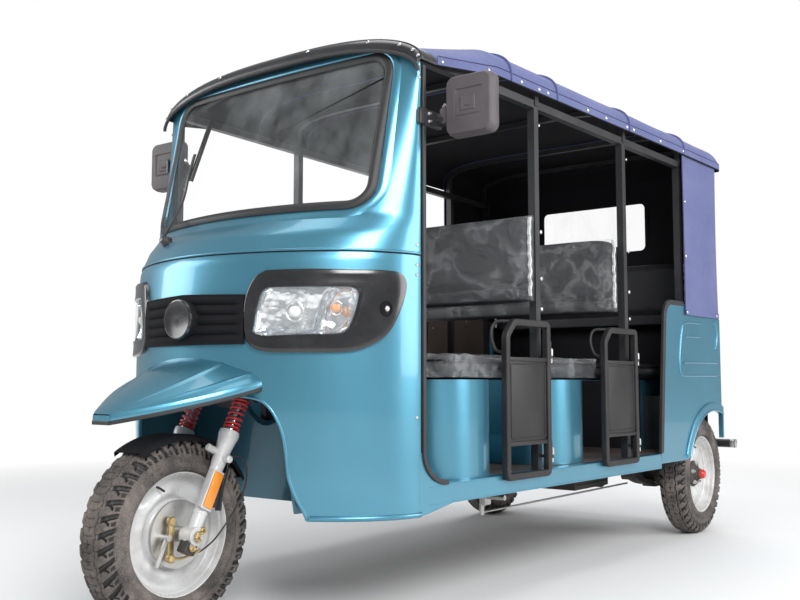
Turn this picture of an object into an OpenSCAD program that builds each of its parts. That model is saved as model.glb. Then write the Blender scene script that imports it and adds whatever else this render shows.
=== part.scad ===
// Auto rickshaw: a three-wheeled passenger tricycle with two gated bench rows and a rear bench.
// Millimetres, +Z up, the front faces -Y and the vehicle's left side is +X.
// Stations along the length are counted from the front axle; recentre() then puts the
// origin on the ground, midway along the overall length.

/* [Wheels] */
// Front axle to rear axle
wheelbase = 2660; // [2300:10:3000]
// Outer diameter of a tyre
tyre_d = 545; // [480:5:620]
// Width of a tyre across its sidewalls
tyre_w = 116; // [90:1:140]
// Diameter of a rim at its flange
rim_d = 352; // [300:2:380]
// Distance between the middles of the rear tyres
rear_track = 1100; // [900:10:1160]
// Radius of the front axle shaft
front_shaft_r = 8; // [6:0.5:12]
// Radius of the rear stub shafts
rear_shaft_r = 15; // [12:0.5:20]
// Radial running clearance of every shaft and pin
running_gap = 0.05; // [0.02:0.01:0.09]

/* [Steering] */
// Lean of the steering axis back from vertical, in degrees
rake = 26; // [20:0.5:30]
// Distance from the steering axis forward to the fork legs
fork_offset = 45; // [30:1:60]
// Distance between the middles of the two fork legs
fork_spacing = 200; // [180:2:240]
// Outer radius of a fork slider
slider_r = 20; // [16:1:26]
// Outer radius of a fork spring
spring_r = 25; // [20:1:32]
// Distance up the fork from the axle to the lower clamp
fork_len = 425; // [380:5:480]
// Distance up the steering axis from the axle to the handlebar
bar_rise = 905; // [820:5:960]
// Overall width of the handlebar
bar_w = 640; // [500:10:760]

/* [Body] */
// Half width of the body at the front pillars
front_half = 569; // [500:1:640]
// Half width of the body at its rear corner
rear_half = 668; // [600:1:740]
// Station of the front pillars, where the nose ends
front_pillar_y = 447; // [420:1:520]
// Station of the first side pillar
pillar_1_y = 1136; // [1000:2:1300]
// Station of the second side pillar
pillar_2_y = 1816; // [1700:2:1900]
// Station of the front edge of the rear quarter panels
quarter_y = 2092; // [2050:2:2200]
// Station of the back of the body
body_rear_y = 2800; // [2700:2:3000]
// Station of the back of the rear bumper
bumper_y = 2955; // [2900:5:3100]
// Height of the floor and of the sill's top
floor_z = 400; // [360:2:460]
// Depth of the side sills
sill_h = 60; // [40:2:90]
// Width of the side sills
sill_w = 45; // [30:1:60]
// Height of the nose's bottom edge
nose_z = 312; // [300:2:330]
// Thickness of the body panels
panel_t = 12; // [8:1:20]
// Height of the roof's side edge
roof_z = 1735; // [1650:5:1900]
// Rise of the roof from its side edge to its middle
roof_crown = 128; // [90:2:150]
// Side of the square roof posts
post_w = 28; // [20:1:36]

/* [Doors] */
// Length of a half door along the body
door_l = 281; // [240:1:320]
// Height of a half door's top
door_top_z = 915; // [850:5:980]
// Thickness of a half door
door_t = 25; // [18:1:30]
// Width of a half door's frame members
door_bar = 24; // [18:1:32]
// Radius of a door's hinge pins
hinge_r = 5; // [4:0.5:6]

/* [Seats] */
// Height of the top of the seat bases
seat_base_z = 712; // [640:2:760]
// Thickness of a seat cushion
cushion_t = 76; // [50:2:110]
// Depth of a seat base
seat_depth = 345; // [300:5:380]
// Width of a bench
bench_w = 1110; // [900:10:1120]
// Height of a backrest's bottom edge
backrest_z = 980; // [920:5:1020]
// Height of a backrest
backrest_h = 305; // [250:5:380]
// Thickness of a backrest
backrest_t = 62; // [40:2:90]

/* [Hidden] */
tyre_r = tyre_d/2;
rim_r = rim_d/2;
bead_r = rim_r - 14;
rim_w = tyre_w - 24;
origin_y = (bumper_y - tyre_r)/2;
taper = atan((rear_half - front_half)/(body_rear_y - front_pillar_y));
nose_n = 1.85;                       // exponent of the nose's plan curve
// [height, station] of the nose's middle line, from its bottom edge to the roof
nose_line = [[nose_z, 95], [420, 62], [600, 48], [950, 48], [1060, 62], [1087, 78],
             [1200, 205], [roof_z + 32, 443]];
screen_half = front_half - 91;
screen_bottom_z = nose_line[len(nose_line) - 2][0] + 22;
screen_top_z = roof_z - 23;
screen_corner = 70;
seal_w = 24;
soft_gap = 0.3;                      // gap between touching soft and hard pieces
facet_gap = 1.0;                     // gap under a sheet that follows the flat-faced nose
fork_top = fork_len + 190;
clamp_t = 26;
well_half = front_half - 244;        // half width of the front wheel's well
post_x = panel_t + soft_gap;         // depth of the posts behind the flank's face
stanchion_r = spring_r - 10.2;
well_back_y = 395;
well_top_z = 668;
rail_x = 300;
rail_w = 50;
rail_h = 60;
rail_top_z = floor_z - 6;
rail_front_y = well_back_y + 20;
bench_y = [pillar_1_y - 526, pillar_2_y - 526, body_rear_y - 486];
corner_post_y = body_rear_y - 60;
backrest_y = [pillar_1_y - post_w/2 - soft_gap, pillar_2_y - post_w/2 - soft_gap, corner_post_y - soft_gap];
door_bottom_z = floor_z - 18;
door_x = 3;
hinge_x = door_x + door_t/2;
hinge_dy = post_w/2 + 14;
door_clear = 18;                     // from a door's edge to its hinge axis
hinge_z = [door_bottom_z + 70, door_top_z - 120];
hinge_len = 50;
arch_r = tyre_r + 24;
canopy_front_y = 520;
flap_y = 2358;
flap_z = 1004;
curtain_t = 5;

// ---- helpers ---------------------------------------------------------------

// Moves stations counted from the front axle into the part's frame.
module recentre() translate([0, -origin_y, 0]) children();

// Draws its children on the left side and mirrored on the right.
module both_sides() {
    children();
    mirror([1, 0, 0]) children();
}

// A frame on the left flank: x outwards, y back from the front pillar, z up.
module flank() translate([front_half, front_pillar_y, 0]) rotate([0, 0, -taper]) children();

// Extrudes an outline drawn in (y, z) from x = x0 to x1.
module slab_x(x0, x1) translate([x0, 0, 0]) rotate([90, 0, 90]) linear_extrude(x1 - x0) children();

// Extrudes an outline drawn in (x, z) from y = y0 to y1.
module slab_y(y0, y1) translate([0, y1, 0]) rotate([90, 0, 0]) linear_extrude(y1 - y0) children();

// A box from one corner to the other.
module block(lo, hi) translate(lo) cube(hi - lo);

// The fork's frame: origin on the axle, z up the fork, y square to it and backwards.
module fork_frame() translate([0, 0, tyre_r]) rotate([-rake, 0, 0]) children();

// The points of a circular arc about c, from angle a0 to a1 in n steps.
function arc(c, r, a0, a1, n) = [for (i = [0:n]) c + r*[cos(a0 + (a1 - a0)*i/n), sin(a0 + (a1 - a0)*i/n)]];

// A rectangle with rounded corners, from corner lo to corner hi.
module rounded(lo, hi, r) polygon(concat(
    arc([hi.x - r, hi.y - r], r, 0, 90, 8), arc([lo.x + r, hi.y - r], r, 90, 180, 8),
    arc([lo.x + r, lo.y + r], r, 180, 270, 8), arc([hi.x - r, lo.y + r], r, 270, 360, 8)));

// A closed shell between the surfaces f(u, v) and g(u, v), both over the unit square.
module shell(nu, nv, f, g) {
    n = (nu + 1)*(nv + 1);
    at = function(i, j) i*(nv + 1) + j;
    points = concat([for (i = [0:nu], j = [0:nv]) f(i/nu, j/nv)],
                    [for (i = [0:nu], j = [0:nv]) g(i/nu, j/nv)]);
    quads = concat(
        [for (i = [0:nu-1], j = [0:nv-1]) [at(i, j), at(i+1, j), at(i+1, j+1), at(i, j+1)]],
        [for (i = [0:nu-1], j = [0:nv-1]) n*[1, 1, 1, 1] + [at(i, j), at(i, j+1), at(i+1, j+1), at(i+1, j)]],
        [for (i = [0:nu-1]) [at(i, 0), n + at(i, 0), n + at(i+1, 0), at(i+1, 0)]],
        [for (i = [0:nu-1]) [at(i, nv), at(i+1, nv), n + at(i+1, nv), n + at(i, nv)]],
        [for (j = [0:nv-1]) [at(0, j), at(0, j+1), n + at(0, j+1), n + at(0, j)]],
        [for (j = [0:nv-1]) [at(nu, j), n + at(nu, j), n + at(nu, j+1), at(nu, j+1)]]);
    polyhedron(points, [for (q = quads, k = [0, 1]) k == 0 ? [q[0], q[1], q[2]] : [q[0], q[2], q[3]]]);
}

// A point of the nose at plan angle t (0 left side, 90 middle, 180 right side),
// height z, set in by depth o: a superellipse in plan whose depth changes with height.
function nose_at(t, z, o) =
    let (ys = front_pillar_y, yc = lookup(z, nose_line) + o)
    [sign(cos(t))*(front_half - o)*pow(abs(cos(t)), 2/nose_n),
     ys - (ys - yc)*pow(abs(sin(t)), 2/nose_n), z];

// The plan angle at which the nose is x wide of the middle.
function nose_angle(x) = acos(pow(x/front_half, nose_n/2));

// ---- wheels ----------------------------------------------------------------

// Tyre carcass: a rounded section between the rim's flanges.
module tyre(x) {
    crown = concat(
        [[bead_r, -rim_w/2], [rim_r + 2, -rim_w/2], [rim_r + 7, -rim_w/2 - 6]],
        [for (a = [0:15:180]) [
            tyre_r - 62 + 62*pow(sin(a), 0.5),
            -tyre_w/2*sign(cos(a))*pow(abs(cos(a)), 0.62)]],
        [[rim_r + 7, rim_w/2 + 6], [rim_r + 2, rim_w/2], [bead_r, rim_w/2]]);
    translate([x, 0, 0]) rotate([0, 90, 0]) rotate_extrude($fn = 96) polygon(crown);
}

// Pressed wheel: barrel with flanges, dished disc with hand holes, and a bored hub.
module rim(x, side, bore_r, hub_r, hub_w) {
    half = rim_w/2;
    lip = bead_r - soft_gap;
    difference() {
        translate([x, 0, 0]) rotate([0, 90, 0]) mirror([0, 0, side < 0 ? 1 : 0]) {
            rotate_extrude($fn = 72) polygon([
                [rim_r, half + 1], [rim_r, half + 5], [lip - 4, half + 5], [lip - 10, half - 14],
                [lip - 26, half - 30], [lip - 26, -half + 30], [lip - 10, -half + 14],
                [lip - 4, -half - 5], [rim_r, -half - 5], [rim_r, -half - 1], [lip, -half - 1],
                [lip - 6, -half + 14], [lip - 22, -half + 28], [lip - 22, half - 28],
                [lip - 6, half - 14], [lip, half + 1]]);
            rotate_extrude($fn = 72) polygon([
                [hub_r - 4, 6], [hub_r + 14, 6], [hub_r + 34, 14], [lip - 24, 2],
                [lip - 24, -6], [hub_r + 34, 6], [hub_r + 14, -2], [hub_r - 4, -2]]);
            translate([0, 0, -hub_w/2]) cylinder(r = hub_r, h = hub_w, $fn = 60);
        }
        translate([x - hub_w, 0, 0]) rotate([0, 90, 0]) cylinder(r = bore_r, h = 2*hub_w, $fn = 48);
        for (a = [0:45:315]) rotate([a, 0, 0]) translate([x - 60, 0, lip - 42])
            rotate([0, 90, 0]) cylinder(r = 10, h = 120, $fn = 24);
    }
}

front_hub_r = 78;
front_hub_w = 66;
rear_hub_r = 46;
rear_hub_w = 74;
rear_wheel_x = rear_track/2;

module front_tyre() color("#1c1c1d") recentre() translate([0, 0, tyre_r]) tyre(0);
module front_rim() color("#d9dbdc") recentre() translate([0, 0, tyre_r])
    rim(0, 1, front_shaft_r + running_gap, front_hub_r, front_hub_w);
module at_rear_axle() recentre() translate([0, wheelbase, tyre_r]) children();
module rear_left_tyre() color("#1c1c1d") at_rear_axle() tyre(rear_wheel_x);
module rear_left_rim() color("#d9dbdc") at_rear_axle()
    rim(rear_wheel_x, 1, rear_shaft_r + running_gap, rear_hub_r, rear_hub_w);
module rear_right_tyre() color("#1c1c1d") at_rear_axle() tyre(-rear_wheel_x);
module rear_right_rim() color("#d9dbdc") at_rear_axle()
    rim(-rear_wheel_x, -1, rear_shaft_r + running_gap, rear_hub_r, rear_hub_w);

// ---- steered pieces --------------------------------------------------------

leg_x = fork_spacing/2;
head_low = fork_len + clamp_t + 6;
head_high = fork_top - clamp_t - 6;
stem_r = 15;
head_r = 26;

// Steering stem: the column from the lower clamp up to the handlebar, with both clamps.
module steering_stem() color("#28292b") recentre() fork_frame() {
    translate([0, fork_offset, fork_len]) cylinder(r = stem_r, h = bar_rise - fork_len - 4, $fn = 40);
    for (z = [fork_len, fork_top - clamp_t]) difference() {
        block([-leg_x - 32, -32, z], [leg_x + 32, fork_offset + 28, z + clamp_t]);
        for (s = [-1, 1]) translate([s*leg_x, 0, z - 1])
            cylinder(r = stanchion_r + soft_gap, h = clamp_t + 2, $fn = 40);
        for (s = [-1, 1]) block([s < 0 ? -leg_x - 40 : 62, 34, z - 1],
                                [s < 0 ? -62 : leg_x + 40, fork_offset + 40, z + clamp_t + 1]);
    }
}

// Handlebar: a straight tube with grips, clamped to the column's head.
module handlebar() color("#1d1d1e") recentre() fork_frame() translate([0, fork_offset, bar_rise]) difference() {
    union() {
        translate([0, 0, -30]) cylinder(r = 30, h = 62, $fn = 48);
        translate([-bar_w/2, 0, 8]) rotate([0, 90, 0]) cylinder(r = 11, h = bar_w, $fn = 32);
        for (s = [-1, 1]) translate([s > 0 ? bar_w/2 - 125 : -bar_w/2, 0, 8])
            rotate([0, 90, 0]) cylinder(r = 17, h = 125, $fn = 32);
        for (s = [-1, 1]) translate([s > 0 ? bar_w/2 - 165 : -bar_w/2 + 130, 0, 8])
            rotate([0, 90, 0]) cylinder(r = 23, h = 35, $fn = 32);
        translate([0, -26, 8]) rotate([-30, 0, 0]) cylinder(r = 48, h = 46, $fn = 48);
    }
    translate([0, 0, -60]) cylinder(r = stem_r + soft_gap, h = 58, $fn = 40);
}

// Fork legs: sliders with axle eyes, collars and the tubes that run up into the clamps.
module fork_legs() color("#d9dbdc") recentre() fork_frame() for (s = [-1, 1]) difference() {
    union() {
        translate([s*leg_x, 0, -34]) cylinder(r = slider_r, h = 330, $fn = 40);
        translate([s*leg_x, 0, 296]) cylinder(r1 = slider_r, r2 = spring_r + 4, h = 14, $fn = 40);
        translate([s*leg_x, 0, 309]) cylinder(r = spring_r + 4, h = 8, $fn = 40);
        translate([s*leg_x, 0, 316]) cylinder(r = stanchion_r, h = fork_top - 316, $fn = 40);
        translate([s*leg_x - slider_r - 4, 0, 0]) rotate([0, 90, 0])
            cylinder(r = slider_r + 6, h = 2*slider_r + 8, $fn = 40);
    }
    translate([s*leg_x - 40, 0, 0]) rotate([0, 90, 0])
        cylinder(r = front_shaft_r + soft_gap, h = 80, $fn = 40);
}

// Fork springs: coils about the tubes between the collars and the lower clamp.
spring_low = 317 + soft_gap;
spring_high = fork_len - soft_gap;
coils = 6;
module fork_springs() color("#c8323a") recentre() fork_frame()
    for (s = [-1, 1], i = [0:coils]) translate([s*leg_x, 0,
        spring_low + 5 + (spring_high - spring_low - 10)*i/coils])
        rotate_extrude($fn = 40) translate([spring_r - 5, 0]) circle(r = 4.9, $fn = 16);

// Front axle: the shaft with its nuts and spacers, and the fixed brake plate with its lever.
module front_axle() color("#b9bbbd") recentre() {
    out = leg_x + slider_r + 4;
    translate([-out - 22, 0, tyre_r]) rotate([0, 90, 0])
        cylinder(r = front_shaft_r, h = 2*out + 44, $fn = 40);
    for (s = [-1, 1]) translate([s > 0 ? out + soft_gap : -out - soft_gap - 10, 0, tyre_r])
        rotate([0, 90, 0]) cylinder(r = 15, h = 10, $fn = 6);
    fork_frame() {
        translate([front_hub_w/2 + 2, 0, 0]) rotate([0, 90, 0]) cylinder(r = 96, h = 8, $fn = 72);
        translate([front_hub_w/2 + 6, 0, 0]) rotate([0, 90, 0])
            cylinder(r = 22, h = leg_x - slider_r - 4 - front_hub_w/2 - 6 - soft_gap, $fn = 40);
        translate([-leg_x + slider_r + 4 + soft_gap, 0, 0]) rotate([0, 90, 0])
            cylinder(r = 16, h = leg_x - slider_r - 4 - soft_gap - front_hub_w/2 - 2, $fn = 40);
        translate([front_hub_w/2 + 4, -52, -28]) rotate([0, 90, 0]) cylinder(r = 9, h = 40, $fn = 24);
        block([front_hub_w/2 + 30, -58, -112], [front_hub_w/2 + 36, -46, -20]);
    }
}

// Inner mudguard: a hoop hugging the front tyre, held to the fork legs by a stay.
guard_r = tyre_r + 24;
module front_mudguard() color("#202124") recentre() {
    translate([0, 0, tyre_r]) rotate([90, 0, 90]) rotate_extrude(angle = 128, start = 4, $fn = 96)
        polygon([[guard_r, -68], [guard_r + 3, -68], [guard_r + 9, -40], [guard_r + 12, 0],
                 [guard_r + 9, 40], [guard_r + 3, 68], [guard_r, 68], [guard_r + 6, 38],
                 [guard_r + 9, 0], [guard_r + 6, -38]]);
    fork_frame() for (s = [-1, 1]) difference() {
        union() {
            block([s > 0 ? 62 : -leg_x - 2, -4, 276], [s > 0 ? leg_x + 2 : -62, 4, 292]);
            block([s > 0 ? 60 : -66, -24, 240], [s > 0 ? 66 : -60, 24, 296]);
            translate([s*leg_x, 0, 274]) cylinder(r = slider_r + 5, h = 18, $fn = 40);
        }
        translate([s*leg_x, 0, 270]) cylinder(r = slider_r + soft_gap, h = 26, $fn = 40);
    }
}

// ---- chassis and running gear ----------------------------------------------

// Chassis: two rails, cross members, and the neck that carries the steering head.
module chassis_frame() color("#232426") recentre() {
    for (s = [-1, 1]) block([s*rail_x - rail_w/2, rail_front_y, rail_top_z - rail_h],
                            [s*rail_x + rail_w/2, body_rear_y - 30, rail_top_z]);
    for (y = [rail_front_y, 780, 1200, 1700, 2150, body_rear_y - 72])
        block([-rail_x, y, rail_top_z - rail_h + 8], [rail_x, y + 40, rail_top_z - 8]);
    // outriggers that carry the sills
    for (y = [780, 1200, 1700, 2150]) block([-front_half + sill_w - 14, y, rail_top_z - rail_h + 8],
                                      [front_half - sill_w + 14, y + 40, rail_top_z - 8]);
    neck_y = function(z) (z - tyre_r)*tan(rake) + fork_offset/cos(rake);
    top_z = tyre_r + head_high*cos(rake) - fork_offset*sin(rake);
    difference() {
        union() {
            fork_frame() translate([0, fork_offset, head_low + 4])
                cylinder(r = head_r, h = head_high - head_low - 8, $fn = 48);
            for (s = [-1, 1]) slab_x(s*34 - 12, s*34 + 12) polygon([
                [neck_y(720) + 8, 720], [neck_y(770) + 8, 770],
                [well_back_y + 50, 700], [rail_front_y + 40, rail_top_z],
                [rail_front_y + 2, rail_top_z], [well_back_y + 12, 660]]);
            block([-rail_x, rail_front_y, rail_top_z - 20], [rail_x, rail_front_y + 40, rail_top_z]);
            fork_frame() block([-46, fork_offset + 8, head_low + 40], [46, fork_offset + 40, head_low + 84]);
        }
        fork_frame() translate([0, fork_offset, fork_len]) cylinder(r = stem_r + running_gap,
            h = bar_rise - fork_len, $fn = 40);
    }
}

// Floor: a flat pan with a low tunnel along its middle.
module floor_pan() color("#3a3a3c") recentre() {
    front = front_half - sill_w - soft_gap - 3;
    back_y = body_rear_y - 30;
    back = front_half + (back_y - front_pillar_y)*tan(taper) - sill_w - soft_gap - 6;
    difference() {
        translate([0, 0, floor_z - 6]) linear_extrude(6) polygon([
            [-front, front_pillar_y - 20], [front, front_pillar_y - 20], [back, back_y], [-back, back_y]]);
        for (s = [-1, 1]) block([s > 0 ? 452 : -900, wheelbase - arch_r - 8, floor_z - 20],
                                [s > 0 ? 900 : -452, body_rear_y + 20, floor_z + 20]);
        block([-50, 0, floor_z - 20], [50, rail_front_y + 44, floor_z + 20]);
    }
    block([-280, 700, floor_z - 1], [280, 1980, floor_z + 98]);
}

// Side sills, each with the rounded gusset that rises to the front pillar.
module side_sills() color("#2f8fae") recentre() both_sides() flank() {
    low = floor_z - sill_h;
    gusset = 95;
    back = quarter_y - front_pillar_y - 1;
    slab_x(-sill_w, 0) polygon(concat(
        [[0, nose_z + 4], [40, nose_z + 6], [165, low], [back, low], [back, floor_z]],
        arc([gusset + 32, floor_z + gusset], gusset, 270, 180, 12),
        [[0, floor_z + gusset + 4]]));
}

// Rear axle: casing, differential, brake plates, stub shafts and the leaf springs under it.
module rear_axle() color("#2a2a2c") at_rear_axle() {
    plate_x = rear_wheel_x - rear_hub_w/2 - 12;
    translate([-plate_x, 0, 0]) rotate([0, 90, 0]) cylinder(r = 30, h = 2*plate_x, $fn = 48);
    translate([-90, 0, 0]) rotate([0, 90, 0]) cylinder(r = 95, h = 180, $fn = 48);
    for (s = [-1, 1]) {
        translate([s > 0 ? plate_x - 34 : -plate_x, 0, 0]) rotate([0, 90, 0])
            cylinder(r = 100, h = 34, $fn = 60);
        translate([s > 0 ? plate_x - 1 : -rear_wheel_x - rear_hub_w/2 - 12, 0, 0]) rotate([0, 90, 0])
            cylinder(r = rear_shaft_r, h = rear_wheel_x + rear_hub_w/2 + 13 - plate_x, $fn = 48);
        translate([s > 0 ? rear_wheel_x + rear_hub_w/2 + 0.5 : -rear_wheel_x - rear_hub_w/2 - 10.5, 0, 0])
            rotate([0, 90, 0]) cylinder(r = 24, h = 10, $fn = 40);
        // leaf pack: an arc slung under the axle with eyes at the rails
        sag = 60;
        span = 540;
        spring_x = s*(rail_x + rail_w/2 + 28 + soft_gap);
        bow = (pow(span/2, 2) + sag*sag)/(2*sag);
        slab_x(spring_x - 28, spring_x + 28) polygon(concat(
            arc([0, bow - 62], bow, 270 - asin(span/2/bow), 270 + asin(span/2/bow), 20),
            arc([0, bow - 62], bow - 24, 270 + asin(span/2/bow), 270 - asin(span/2/bow), 20)));
        block([spring_x - 32, -34, -70], [spring_x + 32, 34, rail_top_z - rail_h - tyre_r - soft_gap]);
        for (e = [-1, 1]) translate([spring_x - 28, e*span/2, 0]) rotate([0, 90, 0])
            cylinder(r = 20, h = 56, $fn = 32);
    }
}

// Engine: one plain block slung between the rails ahead of the rear axle.
module engine_block() color("#4a4b4d") recentre()
    block([-190, wheelbase - 490, floor_z - 190], [190, wheelbase - 140, rail_top_z - rail_h + 7.7]);

// Brake linkage: the pedal shaft's bracket, its lever and the long rod to the rear axle.
module brake_linkage() color("#6b6c6e") recentre() {
    y = pillar_1_y + 104;
    block([rail_x - 8, y - 20, floor_z - 150], [rail_x + 7, y + 20, rail_top_z - rail_h - soft_gap]);
    translate([rail_x - 80, y, floor_z - 120]) rotate([0, 90, 0]) cylinder(r = 10, h = 160, $fn = 24);
    block([rail_x - 24, y - 10, floor_z - 190], [rail_x - 16, y + 10, floor_z - 110]);
    translate([rail_x - 20, y - 6, floor_z - 180]) rotate([-90, 0, 0])
        cylinder(r = 4, h = wheelbase - y - 114, $fn = 16);
}

// ---- nose ------------------------------------------------------------------

// The outline of the windscreen grown by an amount, drawn in (x, z).
module screen_outline(grow) rounded(
    [-screen_half - grow, screen_bottom_z - grow],
    [screen_half + grow, screen_top_z + grow], screen_corner + grow);

// The mouth in the nose that the front wheel turns in, drawn in (x, z).
module mouth_outline() polygon(concat(
    [[-well_half - 50, nose_z - 60], [well_half + 50, nose_z - 60], [well_half + 20, 380], [well_half, 470]],
    arc([well_half - 105, 560], 105, 0, 70, 8),
    arc([105 - well_half, 560], 105, 110, 180, 8), [[-well_half, 470], [-well_half - 20, 380]]));

// Nose: the curved front of the cab, with the windscreen and the wheel's mouth cut out.
module nose_shell() color("#2f8fae") recentre() difference() {
    top = function(t) roof_z - 70 + 102*pow(sin(t), 0.8);
    rows = len(nose_line) - 1;
    level = function(t, v) let (i = round(v*rows)) i < rows ? nose_line[i][0] : top(t);
    shell(nose_cols, rows, function(u, v) nose_at(180*u, level(180*u, v), 0),
                           function(u, v) nose_at(180*u, level(180*u, v), panel_t));
    slab_y(-200, 700) screen_outline(0);
    slab_y(-200, 250) mouth_outline();
}

// A sheet that follows the nose round the windscreen, between two offsets from its surface.
module screen_sheet(o1, o2) {
    turn = function(u) 180*(2 + (nose_cols - 4)*u)/nose_cols;
    kink = nose_line[len(nose_line) - 2][0];
    level = function(v) v < 0.4 ? screen_bottom_z - 80 : v < 0.6 ? kink : nose_line[len(nose_line) - 1][0];
    shell(nose_cols - 4, 2, function(u, v) nose_at(turn(u), level(v), o1),
                            function(u, v) nose_at(turn(u), level(v), o2));
}

// Windscreen: a curved pane set inside the nose's opening.
module windscreen_glass() color("#cfe3ea", 0.35) recentre() intersection() {
    screen_sheet(4, 9);
    slab_y(-200, 700) screen_outline(-1);
}

// Rubber seal: a ring over the edge of the nose's opening.
module windscreen_seal() color("#161617") recentre() difference() {
    intersection() {
        screen_sheet(-10, -facet_gap - 0.5);
        slab_y(-250, 700) screen_outline(10);
    }
    slab_y(-260, 720) screen_outline(-16);
}

// Front wheel well: side cheeks, roof and back wall behind the mouth.
module front_wheel_well() color("#1f5f78") recentre() difference() {
    intersection() {
        nose_core(panel_t + soft_gap);
        front_well_walls();
    }
    fork_frame() translate([0, fork_offset, 300]) cylinder(r = 175, h = 500, $fn = 48);
}
module front_well_walls() {
    for (s = [-1, 1]) slab_x(s > 0 ? well_half : -well_half - 8, s > 0 ? well_half + 8 : -well_half)
        polygon([[60, nose_z + 20], [well_back_y, nose_z + 20], [well_back_y, well_top_z],
                 [60, well_top_z]]);
    block([-well_half, well_back_y - 8, nose_z + 20], [well_half, well_back_y, well_top_z]);
    block([-well_half, 40, well_top_z - 8], [well_half, well_back_y, well_top_z]);
}

// Beak fender: a dished plate reaching forward from the nose over the front wheel.
beak_half = 268;
beak_tip_y = -264;
beak_root_y = 150;
module beak_fender() color("#2f8fae") recentre() {
    half_at = function(v) beak_half*pow(sin(90*min(1, 0.06 + v*1.05)), 0.85);
    y_at = function(u, v) beak_tip_y + (beak_root_y - beak_tip_y)*v + 60*v*pow(abs(2*u - 1), 2);
    edge_z = function(v) 565 + 150*v;
    top = function(u, v, drop) let (w = 2*u - 1)
        [half_at(v)*w, y_at(u, v), edge_z(v) + (22 + 52*v)*(1 - pow(abs(w), 2.6)) - drop];
    difference() {
        shell(28, 20, function(u, v) top(1 - u, v, 0), function(u, v) top(1 - u, v, 8));
        nose_core(-soft_gap);
    }
}
nose_cols = 44;                      // columns of flat facets round the nose
// The space inside the nose's surface set in by o, up to the cowl.
module nose_core(o) shell(36, 12,
    function(u, v) nose_at(180*u, nose_z + (1100 - nose_z)*v, o),
    function(u, v) [nose_at(180*u, nose_z, o).x*0.98, front_pillar_y + 20, nose_z + (1100 - nose_z)*v]);

// A raised patch of the nose between two widths and two heights; low_x is the width at its
// bottom outer corner.
module nose_patch(x0, x1, low_x, z0, z1, o0, o1, nu, nv) {
    a0 = nose_angle(x0);
    a_at = function(v) nose_angle(low_x + (x1 - low_x)*sin(90*v));
    shell(nu, nv,
        function(u, v) nose_at(a_at(v) + (a0 - a_at(v))*u, z0 + (z1 - z0)*v, o0),
        function(u, v) nose_at(a_at(v) + (a0 - a_at(v))*u, z0 + (z1 - z0)*v, o1));
}

// Headlamp bezels: black surrounds wrapped round the nose's corners.
lamp_x = [front_half - 357, front_half - 7];
lamp_z = [790, 1026];
module headlamp_bezels() color("#18191a") recentre() both_sides() difference() {
    nose_patch(lamp_x[0], lamp_x[1], lamp_x[1] - 42, lamp_z[0], lamp_z[1], -14, -facet_gap, 18, 10);
    nose_patch(lamp_x[0] + 50, lamp_x[1] - 62, lamp_x[1] - 100, lamp_z[0] + 50, lamp_z[1] - 50, -40, 20, 14, 8);
}

// Headlamp lenses: clear covers set in the bezels.
module headlamp_lenses() color("#e8eef0", 0.6) recentre() both_sides()
    nose_patch(lamp_x[0] + 52, lamp_x[1] - 64, lamp_x[1] - 102, lamp_z[0] + 52, lamp_z[1] - 52, -12, -facet_gap, 14, 8);

// Grille: a slatted panel between the lamps with a round horn cover in its middle.
module front_grille() color("#1b1c1d") recentre() {
    a0 = nose_angle(lamp_x[0] - 4);
    face_at = function(u, v, o) nose_at(a0 + (180 - 2*a0)*u, lamp_z[0] + 22 + 146*v, o);
    shell(24, 8, function(u, v) face_at(u, v, -12), function(u, v) face_at(u, v, -facet_gap));
    translate([0, 48, 888]) rotate([90, 0, 0]) cylinder(r = 46, h = 30, $fn = 60);
}

// ---- roof ------------------------------------------------------------------

// Half width of the roof at a station.
function roof_half(y) = front_half + 6 + (y - front_pillar_y)*tan(taper);

// How far the arched front section stands under the roof line, its rise, and the length over
// which the roof grows from that arch to its full, square-shouldered section.
front_drop = 62;
front_rise = 117;
roof_growth = 330;

// A point of the arched section over the windscreen at station y, angle a, set in by drop.
function arch_at(y, a, drop) = [
    (roof_half(y) + 8 - drop)*sign(cos(a))*pow(abs(cos(a)), 0.6), y,
    roof_z - front_drop + (front_rise - drop)*pow(abs(sin(a)), 0.97)];

// A point of the full section: nearly flat on top, its side edges rising a little to the rear.
function full_at(y, a, drop) = [
    (roof_half(y) + 8 - drop)*sign(cos(a))*pow(abs(cos(a)), 0.36), y,
    roof_z - 15*max(0, 1 - (y - front_pillar_y)/1850) + (roof_crown - drop)*pow(abs(sin(a)), 0.62)];

// A point of the canopy's section: the arch at its front edge, then the full section.
function canopy_at(y, a, drop) =
    let (share = max(0, min(1, (y - canopy_front_y)/roof_growth)))
    (1 - share)*arch_at(y, a, drop) + share*full_at(y, a, drop);

// Front roof panel: a black cap that rolls down over the top of the windscreen.
module roof_visor() color("#1a1a1b") recentre() {
    back_y = canopy_front_y - soft_gap;
    surface_at = function(a, v, drop)
        let (front_y = 404 + 20*pow(abs(cos(a)), 3),
             y = front_y + (back_y - front_y)*(1 - cos(90*v)),
             edge = arch_at(y, a, drop),
             dip = 42*(1 - sin(90*min(1, v*2.2))))
        [edge.x, y + 0.8*drop*(1 - v), edge.z - dip];
    shell(36, 12, function(u, v) surface_at(180*u, v, 0), function(u, v) surface_at(180*u, v, 8));
}

// Canopy: one curved sheet over the roof bows, with its side valances.
canopy_t = 6;
module canopy() color("#3c3f86") recentre() {
    grown = canopy_front_y + roof_growth;
    y_at = function(v) v < 0.2 ? canopy_front_y + roof_growth*v/0.2
        : grown + (body_rear_y - 12 - grown)*(v - 0.2)/0.8;
    shell(40, 10, function(u, v) canopy_at(y_at(v), 180*u, 0),
                  function(u, v) canopy_at(y_at(v), 180*u, canopy_t));
}

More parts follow.
